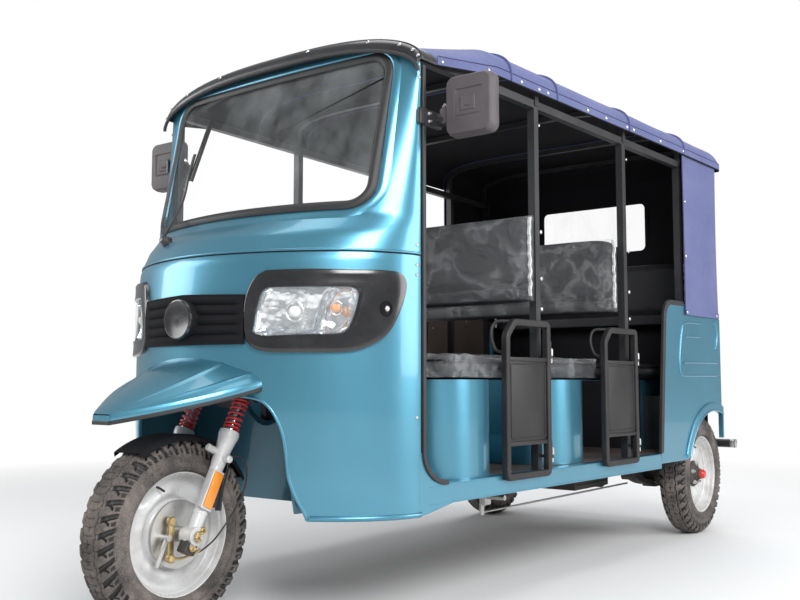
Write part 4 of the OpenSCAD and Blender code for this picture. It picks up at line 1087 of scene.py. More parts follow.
def canopy():
    """Canopy: one sheet over the bows that rolls down at the back, with hems, seams and snaps."""
    width = np.linspace(-1, 1, 141)[:, None]
    back = CANOPY_BACK - 0.001
    along = np.linspace(CANOPY_FRONT, back - ROLL, 150)[None, :]
    angle = roof_angle(width)
    side_share = np.sign(width)*np.cos(angle)**FULL_POWERS[0]
    rise_share = np.sin(angle)**FULL_POWERS[1]
    turn = np.linspace(0, np.pi/2, 14)[None, 1:]
    down = np.linspace(1, 0, 10)[None, 1:]

    def face(drop):
        """The top, the roll at its rear edge and the strip hanging from it, set in by a drop."""
        crown = CROWN - drop
        height = crown*rise_share
        rolled = np.minimum(1, (height - ROLL*(1 - np.cos(turn))*height/crown)/np.maximum(height, 1e-6))
        y = back - ROLL + (ROLL - drop)*np.sin(turn)
        roll = station((roof_half(y) - drop)*side_share, y + 0*width, ROOF_Z + height*rolled)
        y = np.full(down.shape, back - drop)
        share = 1 - ROLL/crown
        wall = station((roof_half(y) - drop)*side_share, y + 0*width,
                       ROOF_Z - 0.010 + (height*share + 0.010)*down)
        return np.concatenate([canopy_surface(width, along, drop), roll, wall], 1)

    outer = face(0.0)
    sheet = make("canopy_sheet", shell(outer, face(0.0025)), "body", CANVAS, 60)
    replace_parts(sheet, "canopy")
    line_inside(sheet, LINING, 1.2)
    seams = []
    for y in (0.930, POST_1 + 0.10, POST_2, FLAP_Y):
        line = canopy_surface(width[:, 0], np.full(141, y), -0.0006)
        seams.append(sweep(line, rounded_outline(0.0075, 0.0009, 0.0006, 3), up=(0, 1, 0)))
        seams.append(sweep(line + (0, 0.013, 0), rounded_outline(0.0012, 0.0011, 0.0006, 3), up=(0, 1, 0)))
    y = np.linspace(CANOPY_FRONT + 0.002, back - 0.002, 90)
    hems, cords = [], []
    for s in (-1, 1):
        rows = np.stack([station(s*(roof_half(y) + 0.0018), y, roof_edge(y) + h)
                         for h in (0.0, 0.012, 0.026)], 1)
        hems.append(shell(rows, rows - (s*0.003, 0, 0)))
        cords.append(tube(station(s*(roof_half(y) + 0.0008), y, roof_edge(y) + 0.028), 0.0011, 6))
        cords.append(tube(station(s*(roof_half(y) - 0.001), y, roof_edge(y) - 0.001), 0.0035, 8))
    trims = [make("canopy_hem", total(hems), "body", CANVAS),
             make("canopy_seams", total(seams), "body", CANVAS),
             make("canopy_piping", total(cords), "body", LINING)]
    spots = np.array([0.545, 0.80, 1.00, 1.115, 1.175, 1.47, 1.62, 1.80, 1.86, 2.12, 2.36])
    right = station(roof_half(spots) + 0.002, spots, roof_edge(spots) + 0.013)
    heads = snap_heads(right, (1, 0, 0.1))
    make("canopy_snaps", heads.both(), "body", CHROME)


def roof_cap():
    """Black cap over the windscreen: it rolls down from the canopy to a beaded front lip."""
    width = np.linspace(-1, 1, 141)
    share = np.linspace(0, 1, 40)[None, :]
    turn = width[:, None]
    angle = roof_angle(turn)
    front = VISOR_FRONT + 0.020*np.cos(angle)**3
    y = front + (CANOPY_FRONT - 0.0003 - front)*(1 - np.cos(np.pi/2*share))
    dip = 0.042*(1 - np.sin(np.pi/2*np.minimum(1, share*2.2)))

    def surface(drop):
        """The cap's face, set in by a drop."""
        x = np.sign(turn)*(roof_half(y) - drop)*np.cos(angle)**ARCH_POWERS[0]
        z = ROOF_Z - ARCH_DROP + (ARCH_RISE - drop)*np.sin(angle)**ARCH_POWERS[1] - dip
        return station(x, y + 0.8*drop*(1 - share), z)

    outer = surface(0.0)
    cap = make("roof_cap", shell(outer, surface(0.005)), "body", CAP_BLACK, 45)
    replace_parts(cap, "roof_visor")
    make("cap_lip", tube(outer[:, 0] + (0, 0.001, 0.001), 0.0060, 10), "body", RUBBER, 60)
    make("cap_step", tube(outer[:, 17] + (0, 0, 0.001), 0.0030, 8), "body", CAP_BLACK, 60)
    picks = np.interp([-0.80, -0.60, -0.38, -0.16, 0.08, 0.30, 0.50, 0.66, 0.80], width,
                      np.arange(141)).astype(int)
    places = outer[picks, 10]
    away = np.stack([0.2*width[picks], -0.75 + 0*places[:, 0], 0.65 + 0*places[:, 0]], -1)
    make("cap_snaps", snap_heads(places, away), "body", CHROME)


def curtain_line(inset, n=260):
    """Plan line of the rear curtain: forward along each flank, round the rear corners, across the back."""
    r = 0.060 - inset
    back = BODY_BACK - inset
    front_x, corner_x = (NOSE_HALF + 0.006 + flare(y) - inset for y in (FLAP_Y, back - r))
    a = np.linspace(0, np.pi/2, 24)
    corner = np.stack([corner_x - r + r*np.cos(a), back - r + r*np.sin(a)], -1)
    half = np.vstack([[[front_x, FLAP_Y]], corner])
    return spread(np.vstack([half, half[::-1]*(-1, 1)]), n)


WINDOW_HALF = (high("rear_window")[0] - low("rear_window")[0])/2
WINDOW_LOW, WINDOW_HIGH = low("rear_window")[2], high("rear_window")[2]
WINDOW_TALL, WINDOW_MID = WINDOW_HIGH - WINDOW_LOW, (WINDOW_LOW + WINDOW_HIGH)/2
CURTAIN_TALL = ROOF_Z + 0.004 - FLAP_Z


def rear_curtain():
    """Rear curtain: one sheet round the back with a window, hems and hanging folds."""
    z = np.linspace(0, 1, 60)[None, :]
    line, run = curtain_line(0.0)
    inner, _ = curtain_line(0.0025)
    share = np.linspace(0, 1, len(line))[:, None]

    def surface(plan):
        """The hanging cloth over a plan line, with its folds."""
        points = station(plan[:, :1], plan[:, 1:], FLAP_Z + CURTAIN_TALL*z)
        outward = np.stack([bowed(plan[:, 0]/0.67, 8), plan[:, 1] > BODY_BACK - 0.01], -1)
        fold = ripples(points*(1, 1, 0.18), 0.20, 11)*0.0022*np.sin(np.pi*np.clip(z, 0.02, 1))**0.7
        fold = fold - 0.004*np.exp(-((z*1.2 - 0.3 - 2.2*np.abs(share - 0.92))/0.05)**2)*np.sin(np.pi*z)
        points[..., 0] += fold*outward[:, :1]
        points[..., 1] += fold*outward[:, 1:]
        return points

    sheet = make("curtain_sheet", shell(surface(line), surface(inner)), "body", CANVAS, 60)
    hole = rounded_outline(WINDOW_HALF, WINDOW_TALL/2, 0.030) + (0, WINDOW_MID)
    cut(sheet, prism_y(hole, BODY_BACK - 0.05, BODY_BACK + 0.05))
    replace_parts(sheet, "rear_curtain")
    line_inside(sheet, LINING, 1.4)
    edge = rounded_outline(WINDOW_HALF + 0.008, WINDOW_TALL/2 + 0.008, 0.036, 14) + (0, WINDOW_MID)
    loop = station(edge[:, 0], BODY_BACK - 0.0015, edge[:, 1])
    border = make("window_border", sweep(loop, rounded_outline(0.010, 0.0028, 0.001, 3), True, up=(0, 1, 0)),
                  "body", LINING)
    hem_width = 0.024
    plans = [curtain_line(inset)[0] for inset in (-0.0022, 0.0)]
    trims = [shell(*(np.stack([station(plan[:, 0], plan[:, 1], FLAP_Z + h) for h in (0, hem_width)], 1)
                     for plan in plans))]
    y = np.array([FLAP_Y, FLAP_Y + hem_width])
    for s in (-1, 1):
        x = s*(NOSE_HALF + 0.0085 + flare(y))
        rows = np.stack([station(x, y, height) for height in np.linspace(FLAP_Z, ROOF_Z, 20)], 1)
        trims.append(shell(rows, rows - (s*0.003, 0, 0)))
    hem = make("curtain_hem", total(trims), "body", CANVAS)
    y = np.array([FLAP_Y + 0.012, FLAP_Y + 0.012, FLAP_Y + 0.012, BODY_BACK - 0.080])
    z = np.array([FLAP_Z + 0.012, 1.27, 1.52, FLAP_Z + 0.012])
    heads = snap_heads(station(NOSE_HALF + 0.0105 + flare(y), y, z), (1, 0, 0)).both()
    rear_x = np.linspace(-0.56, 0.56, 6)
    heads = heads + snap_heads(station(rear_x, BODY_BACK + 0.004, FLAP_Z + 0.012), (0, 1, 0))
    make("curtain_snaps", heads, "body", CHROME)


canopy()
roof_cap()
rear_curtain()


# ---- wheels -----------------------------------------------------------------

RIM_R, RIM_HALF = 0.176, 0.046                 # the bead seat's radius and the rim's half width


def spun(profile, n=120):
    """A profile of (radius, x) turned about the axle."""
    return lathe(profile, n).turn("y", 90)


def tyre_form(lugs=38):
    """Tyre: a bulged section carried round the axle, less the tread: slanted grooves with forked
    ends on each shoulder, two zigzag grooves and fine cuts between them, ribs on the sidewall."""
    a = np.linspace(0.0, np.pi, 400)
    bulge = np.stack([-TYRE_HALF*bowed(np.cos(a), 0.62), TYRE_R - 0.062 + 0.062*np.sin(a)**0.5], -1)
    wall = np.linspace(0, 1, 60)[:-1, None]
    foot = np.array([-RIM_HALF - 0.002, RIM_R - 0.004])
    sag = np.stack([-0.012*np.sin(np.pi*wall[:, 0]), 0*wall[:, 0]], -1)
    left = foot + (bulge[0] - foot)*wall + sag
    section = np.vstack([left, bulge, (left*(-1, 1))[::-1]])
    run = np.concatenate([[0], np.cumsum(np.linalg.norm(np.diff(section, axis=0), axis=1))])
    even = np.linspace(0, run[-1], 92)
    x, r = (np.interp(even, run, section[:, k]) for k in (0, 1))
    side = np.abs(even - run[-1]/2)/(run[-1]/2)             # 0 on the middle line, 1 at the bead
    sign = np.sign(even - run[-1]/2)
    turn = np.linspace(0, 2*np.pi, lugs*24, endpoint=False)[:, None]
    cell = turn*lugs/(2*np.pi) + 0.5*(sign > 0)
    wave = np.abs((cell % 1) - 0.5)*2

    def groove(distance, half, soft):
        """1 within a half width of a groove's middle, falling to 0 over a soft edge."""
        return np.clip((half + soft - np.abs(distance))/soft, 0, 1)

    def near(value):
        """The distance to the nearest whole number, with its sign."""
        return ((value + 0.5) % 1) - 0.5

    def band(start, end, rise=24, fall=24):
        """1 between two shares of the way from the middle line to the bead."""
        return np.clip((side - start)*rise, 0, 1)*np.clip((end - side)*fall, 0, 1)

    shoulder = groove(near(cell + 1.5*side - 0.35), 0.13, 0.07)*band(0.20, 0.60, fall=16)
    ends = groove(near(cell - 2.6*side + 0.86), 0.07, 0.06)*band(0.27, 0.44)
    zigzag = groove(side - 0.165 - 0.040*(wave - 0.5), 0.012, 0.012)
    centre = groove(side*sign + 0.020*(wave - 0.5), 0.006, 0.010)
    cuts = groove(near(2*cell + side), 0.05, 0.06)*np.clip((0.14 - side)*30, 0, 1)
    castle = groove(near(cell + 1.5*side + 0.15), 0.09, 0.06)*band(0.43, 0.58, fall=20)
    depth = np.maximum.reduce([shoulder*0.0085, ends*0.006, zigzag*0.006, centre*0.004, cuts*0.003,
                               castle*0.005])
    ribs = 0.0016*np.exp(-((side - 0.66)/0.012)**2) + 0.0020*np.exp(-((side - 0.90)/0.018)**2)
    ribs = ribs + 0.0006*(np.sin(turn*90) > 0)*np.exp(-((side - 0.78)/0.035)**4)
    dx, dr = np.gradient(x), np.gradient(r)
    length = np.hypot(dx, dr)
    x = x + (dr/length)*(depth - ribs)
    r = r - (dx/length)*(depth - ribs)
    outer = np.stack([x + 0*turn, r*np.cos(turn), r*np.sin(turn)], -1)
    inner_x = np.array([RIM_HALF - 0.004, 0.0, -RIM_HALF + 0.004])
    inner_r = np.array([RIM_R + 0.002, RIM_R + 0.012, RIM_R + 0.002])
    inner = np.stack([inner_x + 0*turn, inner_r*np.cos(turn), inner_r*np.sin(turn)], -1)
    # faces sunk more than 2.8 mm are marked for the darker rubber: painted shade in the grooves
    sunk = np.hstack([depth, np.zeros((len(depth), 3))])
    sunk = (sunk + np.roll(sunk, -1, 0))/2
    return grid(np.concatenate([outer, inner], 1), round_u=True, round_v=True), (sunk > 0.0028).ravel()


def rim_form(n=140):
    """Pressed rim: rolled flange, bead seat and well, alike on both sides."""
    steps = [(-0.001, -0.002), (0.0035, 0.001), (0.0045, 0.005), (0.002, 0.007), (-0.003, 0.005), (-0.006, 0),
             (-0.008, -0.012), (-0.013, -0.017), (-0.016, -0.030), (-0.026, -0.037)]
    half = np.array([(RIM_R + r, -RIM_HALF - x) for r, x in steps])
    well = np.array([(RIM_R - r, RIM_HALF - x) for r, x in ((0.022, 0.036), (0.008, 0.028), (0.003, 0.010))])
    loop = np.vstack([half, half[::-1]*(1, -1), well, well[::-1]*(1, -1)])
    a = np.arange(n)*2*np.pi/n
    points = np.stack([np.broadcast_to(loop[:, 1:], (len(loop), n)), loop[:, :1]*np.cos(a),
                       loop[:, :1]*np.sin(a)], -1)
    return grid(points, round_u=True, round_v=True)


def disc_form(sign, hub_r, crown, hollows, n=240):
    """Wheel disc: from the hub out to the well, crowned, with hollows pressed between its spokes."""
    r = np.concatenate([np.linspace(hub_r - 0.006, 0.148, 36), [0.152, 0.155]])[None, :]
    a = (np.arange(n)*2*np.pi/n)[:, None]
    share = np.clip((r - hub_r)/(0.150 - hub_r), 0, 1)
    x = crown*np.sin(np.pi*share**0.8)**1.2
    press = np.clip(np.cos(a*hollows)*1.6, -1, 1)*np.sin(np.pi*np.clip(share*1.15 - 0.05, 0, 1))**1.4*0.0075
    x = sign*(x + press) + 0*a
    front = np.stack([x, r*np.cos(a), r*np.sin(a)], -1)
    return shell(front, front - (sign*0.004, 0, 0), round_u=True)


def ring_of(form, count, r):
    """Copies of a form drawn about the axle's line, set round it at a radius."""
    return total(form.move(0, 0, r).turn("x", 360*k/count) for k in range(count))


def nut(size, tall, sign=1):
    """A hexagon nut with a rounded crown and a stud, its axis along x."""
    stud = lathe([(0, tall + 0.007), (size*0.42, tall + 0.0065), (size*0.5, tall + 0.005), (size*0.5, 0),
                  (0, 0)], 16)
    return (plate(circle(size, 6), 0, tall, size*0.12) + stud).turn("y", 90*sign)


BRAKE_PLATE = [(0, 0.034), (0.020, 0.034), (0.024, 0.030), (0.060, 0.029), (0.078, 0.0255), (0.090, 0.023),
               (0.096, 0.017), (0.098, 0.006), (0.100, -0.022), (0, -0.026)]
FAR_DRUM = [(0, 0.036), (0.030, 0.036), (0.036, 0.030), (0.070, 0.026), (0.098, 0.018), (0.104, 0.002),
            (0, 0)]
HUB = [(0, 0.040), (0.018, 0.040), (0.024, 0.036), (0.030, 0.026), (0.052, 0.022), (0.060, 0.012),
       (0.064, -0.030), (0, -0.036)]
DUST_CAP = [(0, 0.030), (0.015, 0.028), (0.021, 0.020), (0.022, 0.0), (0, 0)]


def wheels():
    """Three tyres on pressed rims; the front one has a brake plate, the rear ones a drum and studs."""
    (tyre, sunk), rim = tyre_form(), rim_form()
    left_rear = np.array([REAR_X, REAR_HUB[1], REAR_HUB[2]])
    places = {"front": (FRONT_HUB, "front_wheel"), "rear_left": (left_rear, "rear_left_wheel"),
              "rear_right": (left_rear*(-1, 1, 1), "rear_right_wheel")}
    for name, (hub, body) in places.items():
        def piece(part, form, material, smooth=35):
            """One piece of this wheel, drawn about the axle and set at the hub."""
            return make(name + part, form.move(*hub), body, material, smooth)

        covering = piece("_tread", tyre, TYRE, 28)
        # the sunk faces take the darker rubber: painted shade in the grooves
        covering.data.materials.append(GROOVE_SHADE)
        covering.data.polygons.foreach_set("material_index", sunk.astype(np.int32))
        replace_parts(covering, name + "_tyre")
        out = -1 if name == "rear_right" else 1
        if name == "front":
            parts = (rim + disc_form(1, 0.098, 0.010, 3).move(0.010, 0, 0) + spun(BRAKE_PLATE)
                     + spun(FAR_DRUM).bend(lambda p: p*(-1, -1, 1)))
        else:
            parts = rim + disc_form(out, 0.050, 0.006, 5).move(out*0.006, 0, 0)
            cap = piece("_hub", spun(HUB).bend(lambda p: p*(out, out, 1)), CAST)
            studs = ring_of(nut(0.0105, 0.012, out).move(out*0.019, 0, 0), 5, 0.045)
            piece("_nuts", studs, ZINC)
            dust = spun(DUST_CAP, 48).bend(lambda p: p*(out, out, 1)).move(out*0.040, 0, 0)
            piece("_dust_cap", dust, RED)
            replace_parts(cap, name + "_rim")
        metal = piece("_rim_disc", parts, WHITE)
        if name == "front":
            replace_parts(metal, "front_rim")
        stem = [[out*0.022, 0, -0.150], [out*0.034, 0, -0.146], [out*0.050, 0, -0.138]]
        piece("_valve", tube(stem, 0.0034, 10).turn("x", 205), RUBBER)


def fork(points):
    """Points of the steered fork's own frame, x across, y behind the legs, z up along them, set
    at the rake about the axle."""
    c, s = math.cos(RAKE), math.sin(RAKE)
    return np.stack([points[:, 0], FRONT_HUB[1] + points[:, 1]*c + points[:, 2]*s,
                     FRONT_HUB[2] - points[:, 1]*s + points[:, 2]*c], -1)


def steered(name, form, material, smooth=35):
    """A piece drawn in the fork's frame and carried by the steering."""
    return make(name, form.bend(fork), "steering", material, smooth)


LEG_X = 0.100                                  # the fork's legs from its middle


def front_fork():
    """Springs, sleeves, cones, reflectors and bosses on the fork's legs, the brake's arm and link."""
    turn = np.linspace(0, 1, 420)
    height = 0.3175 + 0.0042 + (0.1070 - 0.0084)*(turn - np.sin(2*np.pi*turn)*0.055)
    coil = np.stack([LEG_X + 0.0212*np.cos(turn*2*np.pi*7.5), 0.0212*np.sin(turn*2*np.pi*7.5), height], -1)
    spring = tube(coil, 0.0038, 12)
    springs = steered("fork_coils", spring.both(), RED, 60)
    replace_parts(springs, "fork_springs")
    sleeve = lathe([(0.0149, 0.317), (0.0156, 0.3175), (0.0156, 0.424), (0.0149, 0.4245)], 32)
    upper = lathe([(0.0149, 0.4515), (0.0156, 0.452), (0.0156, 0.588), (0.0149, 0.5885)], 32)
    steered("fork_sleeves", (sleeve + upper).move(LEG_X, 0, 0).both(), CHROME)
    cone = lathe([(0.0202, 0.205), (0.0222, 0.222), (0.0240, 0.262), (0.0280, 0.290), (0.0305, 0.300),
                  (0.0312, 0.309), (0.0300, 0.3172), (0.0202, 0.3174)], 40)
    ring = lathe([(0.0202, 0.062), (0.0215, 0.064), (0.0215, 0.070), (0.0202, 0.072)], 40)
    steered("fork_cones", (cone + ring).move(LEG_X, 0, 0).both(), WHITE)
    holder = block((0.004, -0.026, 0.078), (0.026, 0.016, 0.190), 0.004)
    face = block((0.0255, -0.030, 0.076), (0.0285, 0.012, 0.192), 0.0013)
    boss = lathe([(0, 0.046), (0.007, 0.046), (0.0105, 0.043), (0.0105, 0.0), (0, 0)], 24).turn("x", 90)
    bracket = holder + face + boss.move(-0.004, -0.012, 0.246) + boss.turn("z", 90).move(0.0, 0.0, 0.232)
    lug = block((-0.018, -0.020, -0.052), (0.018, 0.020, -0.018), 0.004)
    steered("fork_brackets", bracket.move(LEG_X, 0, 0).both(), WHITE)
    steered("fork_feet", lug.move(LEG_X, 0, 0).both(), CAST)
    amber = block((0.0283, -0.026, 0.082), (0.0335, 0.008, 0.186), 0.0018)
    steered("side_reflectors", amber.move(LEG_X, 0, 0).both(), ORANGE)
    bolts = nut(0.0095, 0.010).move(0.022, 0.010, 0.022) + nut(0.0095, 0.010).move(0.022, -0.004, -0.036)
    axle = nut(0.0165, 0.012).move(0.027, 0, 0)
    steered("fork_bolts", (bolts + axle).move(LEG_X, 0, 0).both(), GOLD)
    x = 0.058
    arm_top, arm_foot = np.array([x, -0.052, 0.020]), np.array([x + 0.004, -0.014, -0.074])
    path = np.linspace(0, 1, 14)[:, None]*(arm_foot - arm_top) + arm_top
    lever = sweep(path, rounded_outline(0.0105, 0.0045, 0.003, 4), up=(1, 0, 0))
    pin = lathe([(0, 0.014), (0.011, 0.014), (0.013, 0.011), (0.013, 0), (0, 0)], 24).turn("y", 90)
    link = tube(curve([(x + 0.010, -0.014, -0.074), (x + 0.012, 0.020, -0.062), (x + 0.030, 0.046, -0.036),
                       (x + 0.038, 0.052, -0.020)], 24), 0.0038, 10)
    yoke = block((x - 0.004, -0.026, -0.084), (x + 0.018, -0.004, -0.066), 0.003)
    parts = lever + pin.move(*(arm_top - (0.006, 0, 0))) + pin.move(*(arm_foot - (0.004, 0, 0))) + link + yoke
    steered("brake_lever_arm", parts, GOLD)
    turn = np.radians(np.linspace(57, 150, 90))[:, None]
    across = np.linspace(-1, 1, 25)[None, :]
    fall = 0.016*np.clip((np.abs(across) - 0.78)/0.22, 0, 1)**2
    faces = []
    for r in (0.2800 + 0.003 - fall, 0.2800 - fall):
        faces.append(np.stack([0.064*across + 0*turn, -r*np.cos(turn), r*np.sin(turn)], -1) + FRONT_HUB)
    guard = make("tyre_guard", shell(*faces), "steering", LINING, 50)
    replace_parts(guard, "front_mudguard")
    stay = []
    for y in (0.020, 0.046):
        route = curve([(0.072, y, 0.285), (0.078, y + 0.006, 0.230), (0.081, y + 0.012, 0.160),
                       (0.084, y + 0.030, 0.100)], 30)
        stay.append(sweep(route, rounded_outline(0.0045, 0.0105, 0.002, 4), up=(1, 0, 0)))
    steered("guard_stays", total(stay).both(), CAP_BLACK)
    cable = curve([(0.012, 0.022, 0.246), (0.016, 0.060, 0.262), (0.010, 0.105, 0.240), (0.004, 0.128, 0.170),
                   (-0.008, 0.118, 0.085), (-0.012, 0.096, 0.020), (-0.020, 0.066, -0.026),
                   (-0.030, 0.054, -0.026)], 90) + (LEG_X, 0, 0)
    steered("front_brake_cable", tube(cable, 0.0026, 8), RUBBER)


wheels()
front_fork()

# ---- seats ------------------------------------------------------------------

SEAT_LOW, SEAT_HIGH = low("seat_cushions")[2], high("seat_cushions")[2]
BENCHES = (0.610, 1.290, 2.314)                # stations of the bases' front faces
BACKS = (0.610 + 0.5117, 1.290 + 0.5117, 2.7397)
BACK_LOW, BACK_HIGH = low("seat_backrests")[2], high("seat_backrests")[2]
BACK_T = 0.062                                 # the backrests' thickness
BACK_HALVES = (0.590, 0.593, 0.536)            # and half widths


def crowned(half_x, half_y, half_z, power, rows=34, n=220):
    """A cushion about the origin: rounded-rectangle rings, a superellipse in height, its faces
    crowned and its sides pulled in a little between the corners."""
    a = np.arange(n)*2*np.pi/n
    flat_x, flat_y = bowed(np.cos(a), 2/power), bowed(np.sin(a), 2/power)
    v = np.linspace(-np.pi/2, np.pi/2, rows)
    ring, rise = bowed(np.cos(v), 0.34), bowed(np.sin(v), 0.62)
    x = half_x*ring[:, None]*flat_x
    y = half_y*ring[:, None]*flat_y
    z = half_z*rise[:, None] + 0*x
    pull = 1 - 0.012*(1 - np.abs(flat_x)**2)*(1 - np.abs(rise[:, None])**4)
    return grid(np.stack([x, y*pull, z], -1), round_v=True)


def puffed(form, cap, voxel=0.006):
    """The form remeshed and swollen as cloth under pressure, each point moved no more than a cap."""
    obj = bpy.data.objects.new("puff", bpy.data.meshes.new("puff"))
    bpy.context.scene.collection.objects.link(obj)
    obj.data.from_pydata(form.points.tolist(), [], [f.tolist() for faces in form.faces for f in faces])
    build = bmesh.new()
    build.from_mesh(obj.data)
    cleaned(build, obj.data, 1e-5, 1e-6)
    remesh = obj.modifiers.new("remesh", "REMESH")
    remesh.mode = "VOXEL"
    remesh.voxel_size = voxel
    mesh = bpy.data.meshes.new_from_object(obj.evaluated_get(bpy.context.evaluated_depsgraph_get()))
    obj.modifiers.clear()
    obj.data = mesh
    start = moved = read(mesh.vertices, "co", 3)
    cloth = obj.modifiers.new("cloth", "CLOTH")
    cloth.settings.use_pressure = True
    cloth.settings.uniform_pressure_force = 4.0
    cloth.settings.effector_weights.gravity = 0.0
    cloth.settings.quality = 4
    scene = bpy.context.scene
    for step in range(1, 21):
        scene.frame_set(step)
    done = obj.evaluated_get(bpy.context.evaluated_depsgraph_get())
    moved = read(done.data.vertices, "co", 3)
    scene.frame_set(1)
    shift = moved - start
    size = np.linalg.norm(shift, axis=1)[:, None]
    moved = start + shift*np.minimum(1, cap/np.maximum(size, 1e-9))
    corners = read(mesh.loops, "vertex_index", kind=int)
    sizes = read(mesh.polygons, "loop_total", kind=int)
    starts = np.concatenate([[0], np.cumsum(sizes)[:-1]])
    faces = [corners[starts[sizes == k][:, None] + np.arange(k)] for k in np.unique(sizes)]
    bpy.data.objects.remove(obj)
    return Form(moved, faces)


def fitted(form, lo, hi):
    """The form scaled and moved to fill a box."""
    a, b = form.points.min(0), form.points.max(0)
    return form.bend(lambda p: lo + (p - a)/(b - a)*(np.asarray(hi) - lo))


def creased(points, seed, deep, length):
    """Heights of crumpled sheet: sharp ridges where several folded waves meet."""
    first = ripples(points, length, seed)
    second = ripples(points + 0.3*first[..., None]*length*np.array([1, 0.6, 0.8]), length*0.5, seed + 1)
    return deep*(1 - np.clip(np.abs(second)*1.5, 0, 1))**2 + 0.5*deep*np.clip(first*0.5 + 0.5, 0, 1)


def cushion_wrap(half, bench, seed):
    """Crumpled film over a cushion: up its sides and in over its top."""
    u = np.linspace(0, 2*np.pi, 361)[:-1][:, None]
    v = np.linspace(0.0, 1.0, 46)[None, :]
    flat_x, flat_y = bowed(np.cos(u), 0.2), bowed(np.sin(u), 0.2)
    share = np.clip(1.0 - np.clip(v - 0.30, 0, 1)/0.70, 0, 1)**0.8
    z = SEAT_LOW + 0.006 + (SEAT_HIGH - SEAT_LOW - 0.006)*np.clip(v/0.30, 0, 1)**0.8 + 0.006*(1 - share**6)
    sheet = station((half + 0.003)*flat_x*share, bench + 0.1845 + 0.2035*flat_y*share, z)
    away = np.stack([flat_x*(v < 0.35), flat_y*(v < 0.35), 0.25 + (v > 0.25)*0.75 + 0*u], -1)
    bumps = creased(sheet, seed, 0.006, 0.10)*(0.4 + 0.6*np.clip(share*2 - 1, 0, 1))
    sheet = sheet + bumps[..., None]*away*(1, 1, 0.8)
    return shell(sheet, sheet - away*0.0006, round_u=True)


def backrest_wrap(half, rear, face, seed):
    """Crumpled film over one face of a backrest, drawn in at its edges."""
    u = np.linspace(-1, 1, 300)[:, None]
    v = np.linspace(0, 1, 90)[None, :]
    edge = np.minimum(1, np.minimum(1 - np.abs(u), 0.5 - np.abs(v - 0.5))*9)
    y = rear - BACK_T/2 + face*(BACK_T/2 + 0.002)*np.clip(edge, 0, 1)**0.25
    sheet = station((half + 0.001)*u, y, BACK_LOW + 0.004 + (BACK_HIGH - BACK_LOW - 0.004)*v)
    sheet[..., 1] += face*creased(sheet, seed, 0.008, 0.16)*np.clip(edge*1.6, 0, 1)*0.75
    return shell(sheet, sheet - (0, face*0.0006, 0))


def seats():
    """Three bench cushions and three backrests in grained vinyl, with piping, rolls and wraps."""
    cushion = puffed(crowned(0.545, 0.192, 0.032, 9), 0.010)
    back = puffed(crowned(0.530, 0.156, 0.022, 8), 0.012).turn("x", 90)
    cushions, pipes, wraps = [], [], []
    for index, bench in enumerate(BENCHES):
        half = 0.555 if index < 2 else 0.530
        lo = station(-half, bench - 0.016, SEAT_LOW + 0.0005)
        hi = station(half, bench + 0.385, SEAT_HIGH + 0.002)
        pad = fitted(cushion, lo, hi)
        folds = 0.0012*ripples(pad.points, 0.07, 21 + index)
        folds = folds*np.clip((pad.points[:, 2] - SEAT_LOW)/0.02 - 0.3, 0, 1)
        pad.points[:, 2] = np.maximum(pad.points[:, 2] + folds, SEAT_LOW + 0.0004)
        cushions.append(pad)
        ring = rounded_outline(half - 0.004, 0.1965, 0.058, 14)
        loop = station(ring[:, 0], bench + 0.1845 + ring[:, 1], SEAT_HIGH - 0.017)
        pipes.append(tube(loop, 0.0036, 8, True))
        if index < 2:
            wraps.append(cushion_wrap(half, bench, 60 + index))
    pads = make("bench_cushions", total(cushions), "body", VINYL, 80)
    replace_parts(pads, "seat_cushions")
    make("cushion_piping", total(pipes), "body", LINING)
    make("cushion_wraps", total(wraps), "body", FILM, 80)
    backs, rolls, wraps, edges = [], [], [], []
    for index, (rear, half) in enumerate(zip(BACKS, BACK_HALVES)):
        lo = station(-half, rear - BACK_T, BACK_LOW + 0.052)
        hi = station(half, rear - 0.001, BACK_HIGH)
        backs.append(fitted(back, lo, hi))
        roll_lo = station(-half + 0.004, rear - BACK_T + 0.006, BACK_LOW)
        roll_hi = station(half - 0.004, rear - 0.003, BACK_LOW + 0.058)
        rolls.append(fitted(back, roll_lo, roll_hi))
        if index < 2:
            wraps += [backrest_wrap(half, rear, face, 80 + 2*index + (face > 0)) for face in (-1, 1)]
        # whitish strips down the side edges of every backrest: painted highlights along the edges, on the two
        # wrapped backrests also the gathered wrap
        z = np.linspace(BACK_LOW + 0.02, BACK_HIGH - 0.01, 60)
        wobble = 0.004*ripples(station(0*z + half, 0*z, z), 0.03, 5 + index)
        for s in (-1, 1):
            line = station(s*(half + 0.001) + 0*z, rear - BACK_T*0.85 + wobble, z)
            edges.append(sweep(line, rounded_outline(0.004, 0.006, 0.002, 3), up=(1, 0, 0)))
    rests = make("bench_backrests", total(backs + rolls), "body", VINYL, 80)
    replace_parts(rests, "seat_backrests")
    make("backrest_wraps", total(wraps), "body", FILM, 80)
    make("wrap_and_highlight_edges", total(edges), "body", WRAP_AND_EDGE_HIGHLIGHT, 80)


# whitish grey for the backrests' edge strips: painted highlight, and the gathered wrap on the wrapped ones
WRAP_AND_EDGE_HIGHLIGHT = coloured("gathered wrap and painted edge highlight", (0.60, 0.61, 0.62), 0.35, 0.3, 90, 0.004)
seats()

# ---- gates ------------------------------------------------------------------


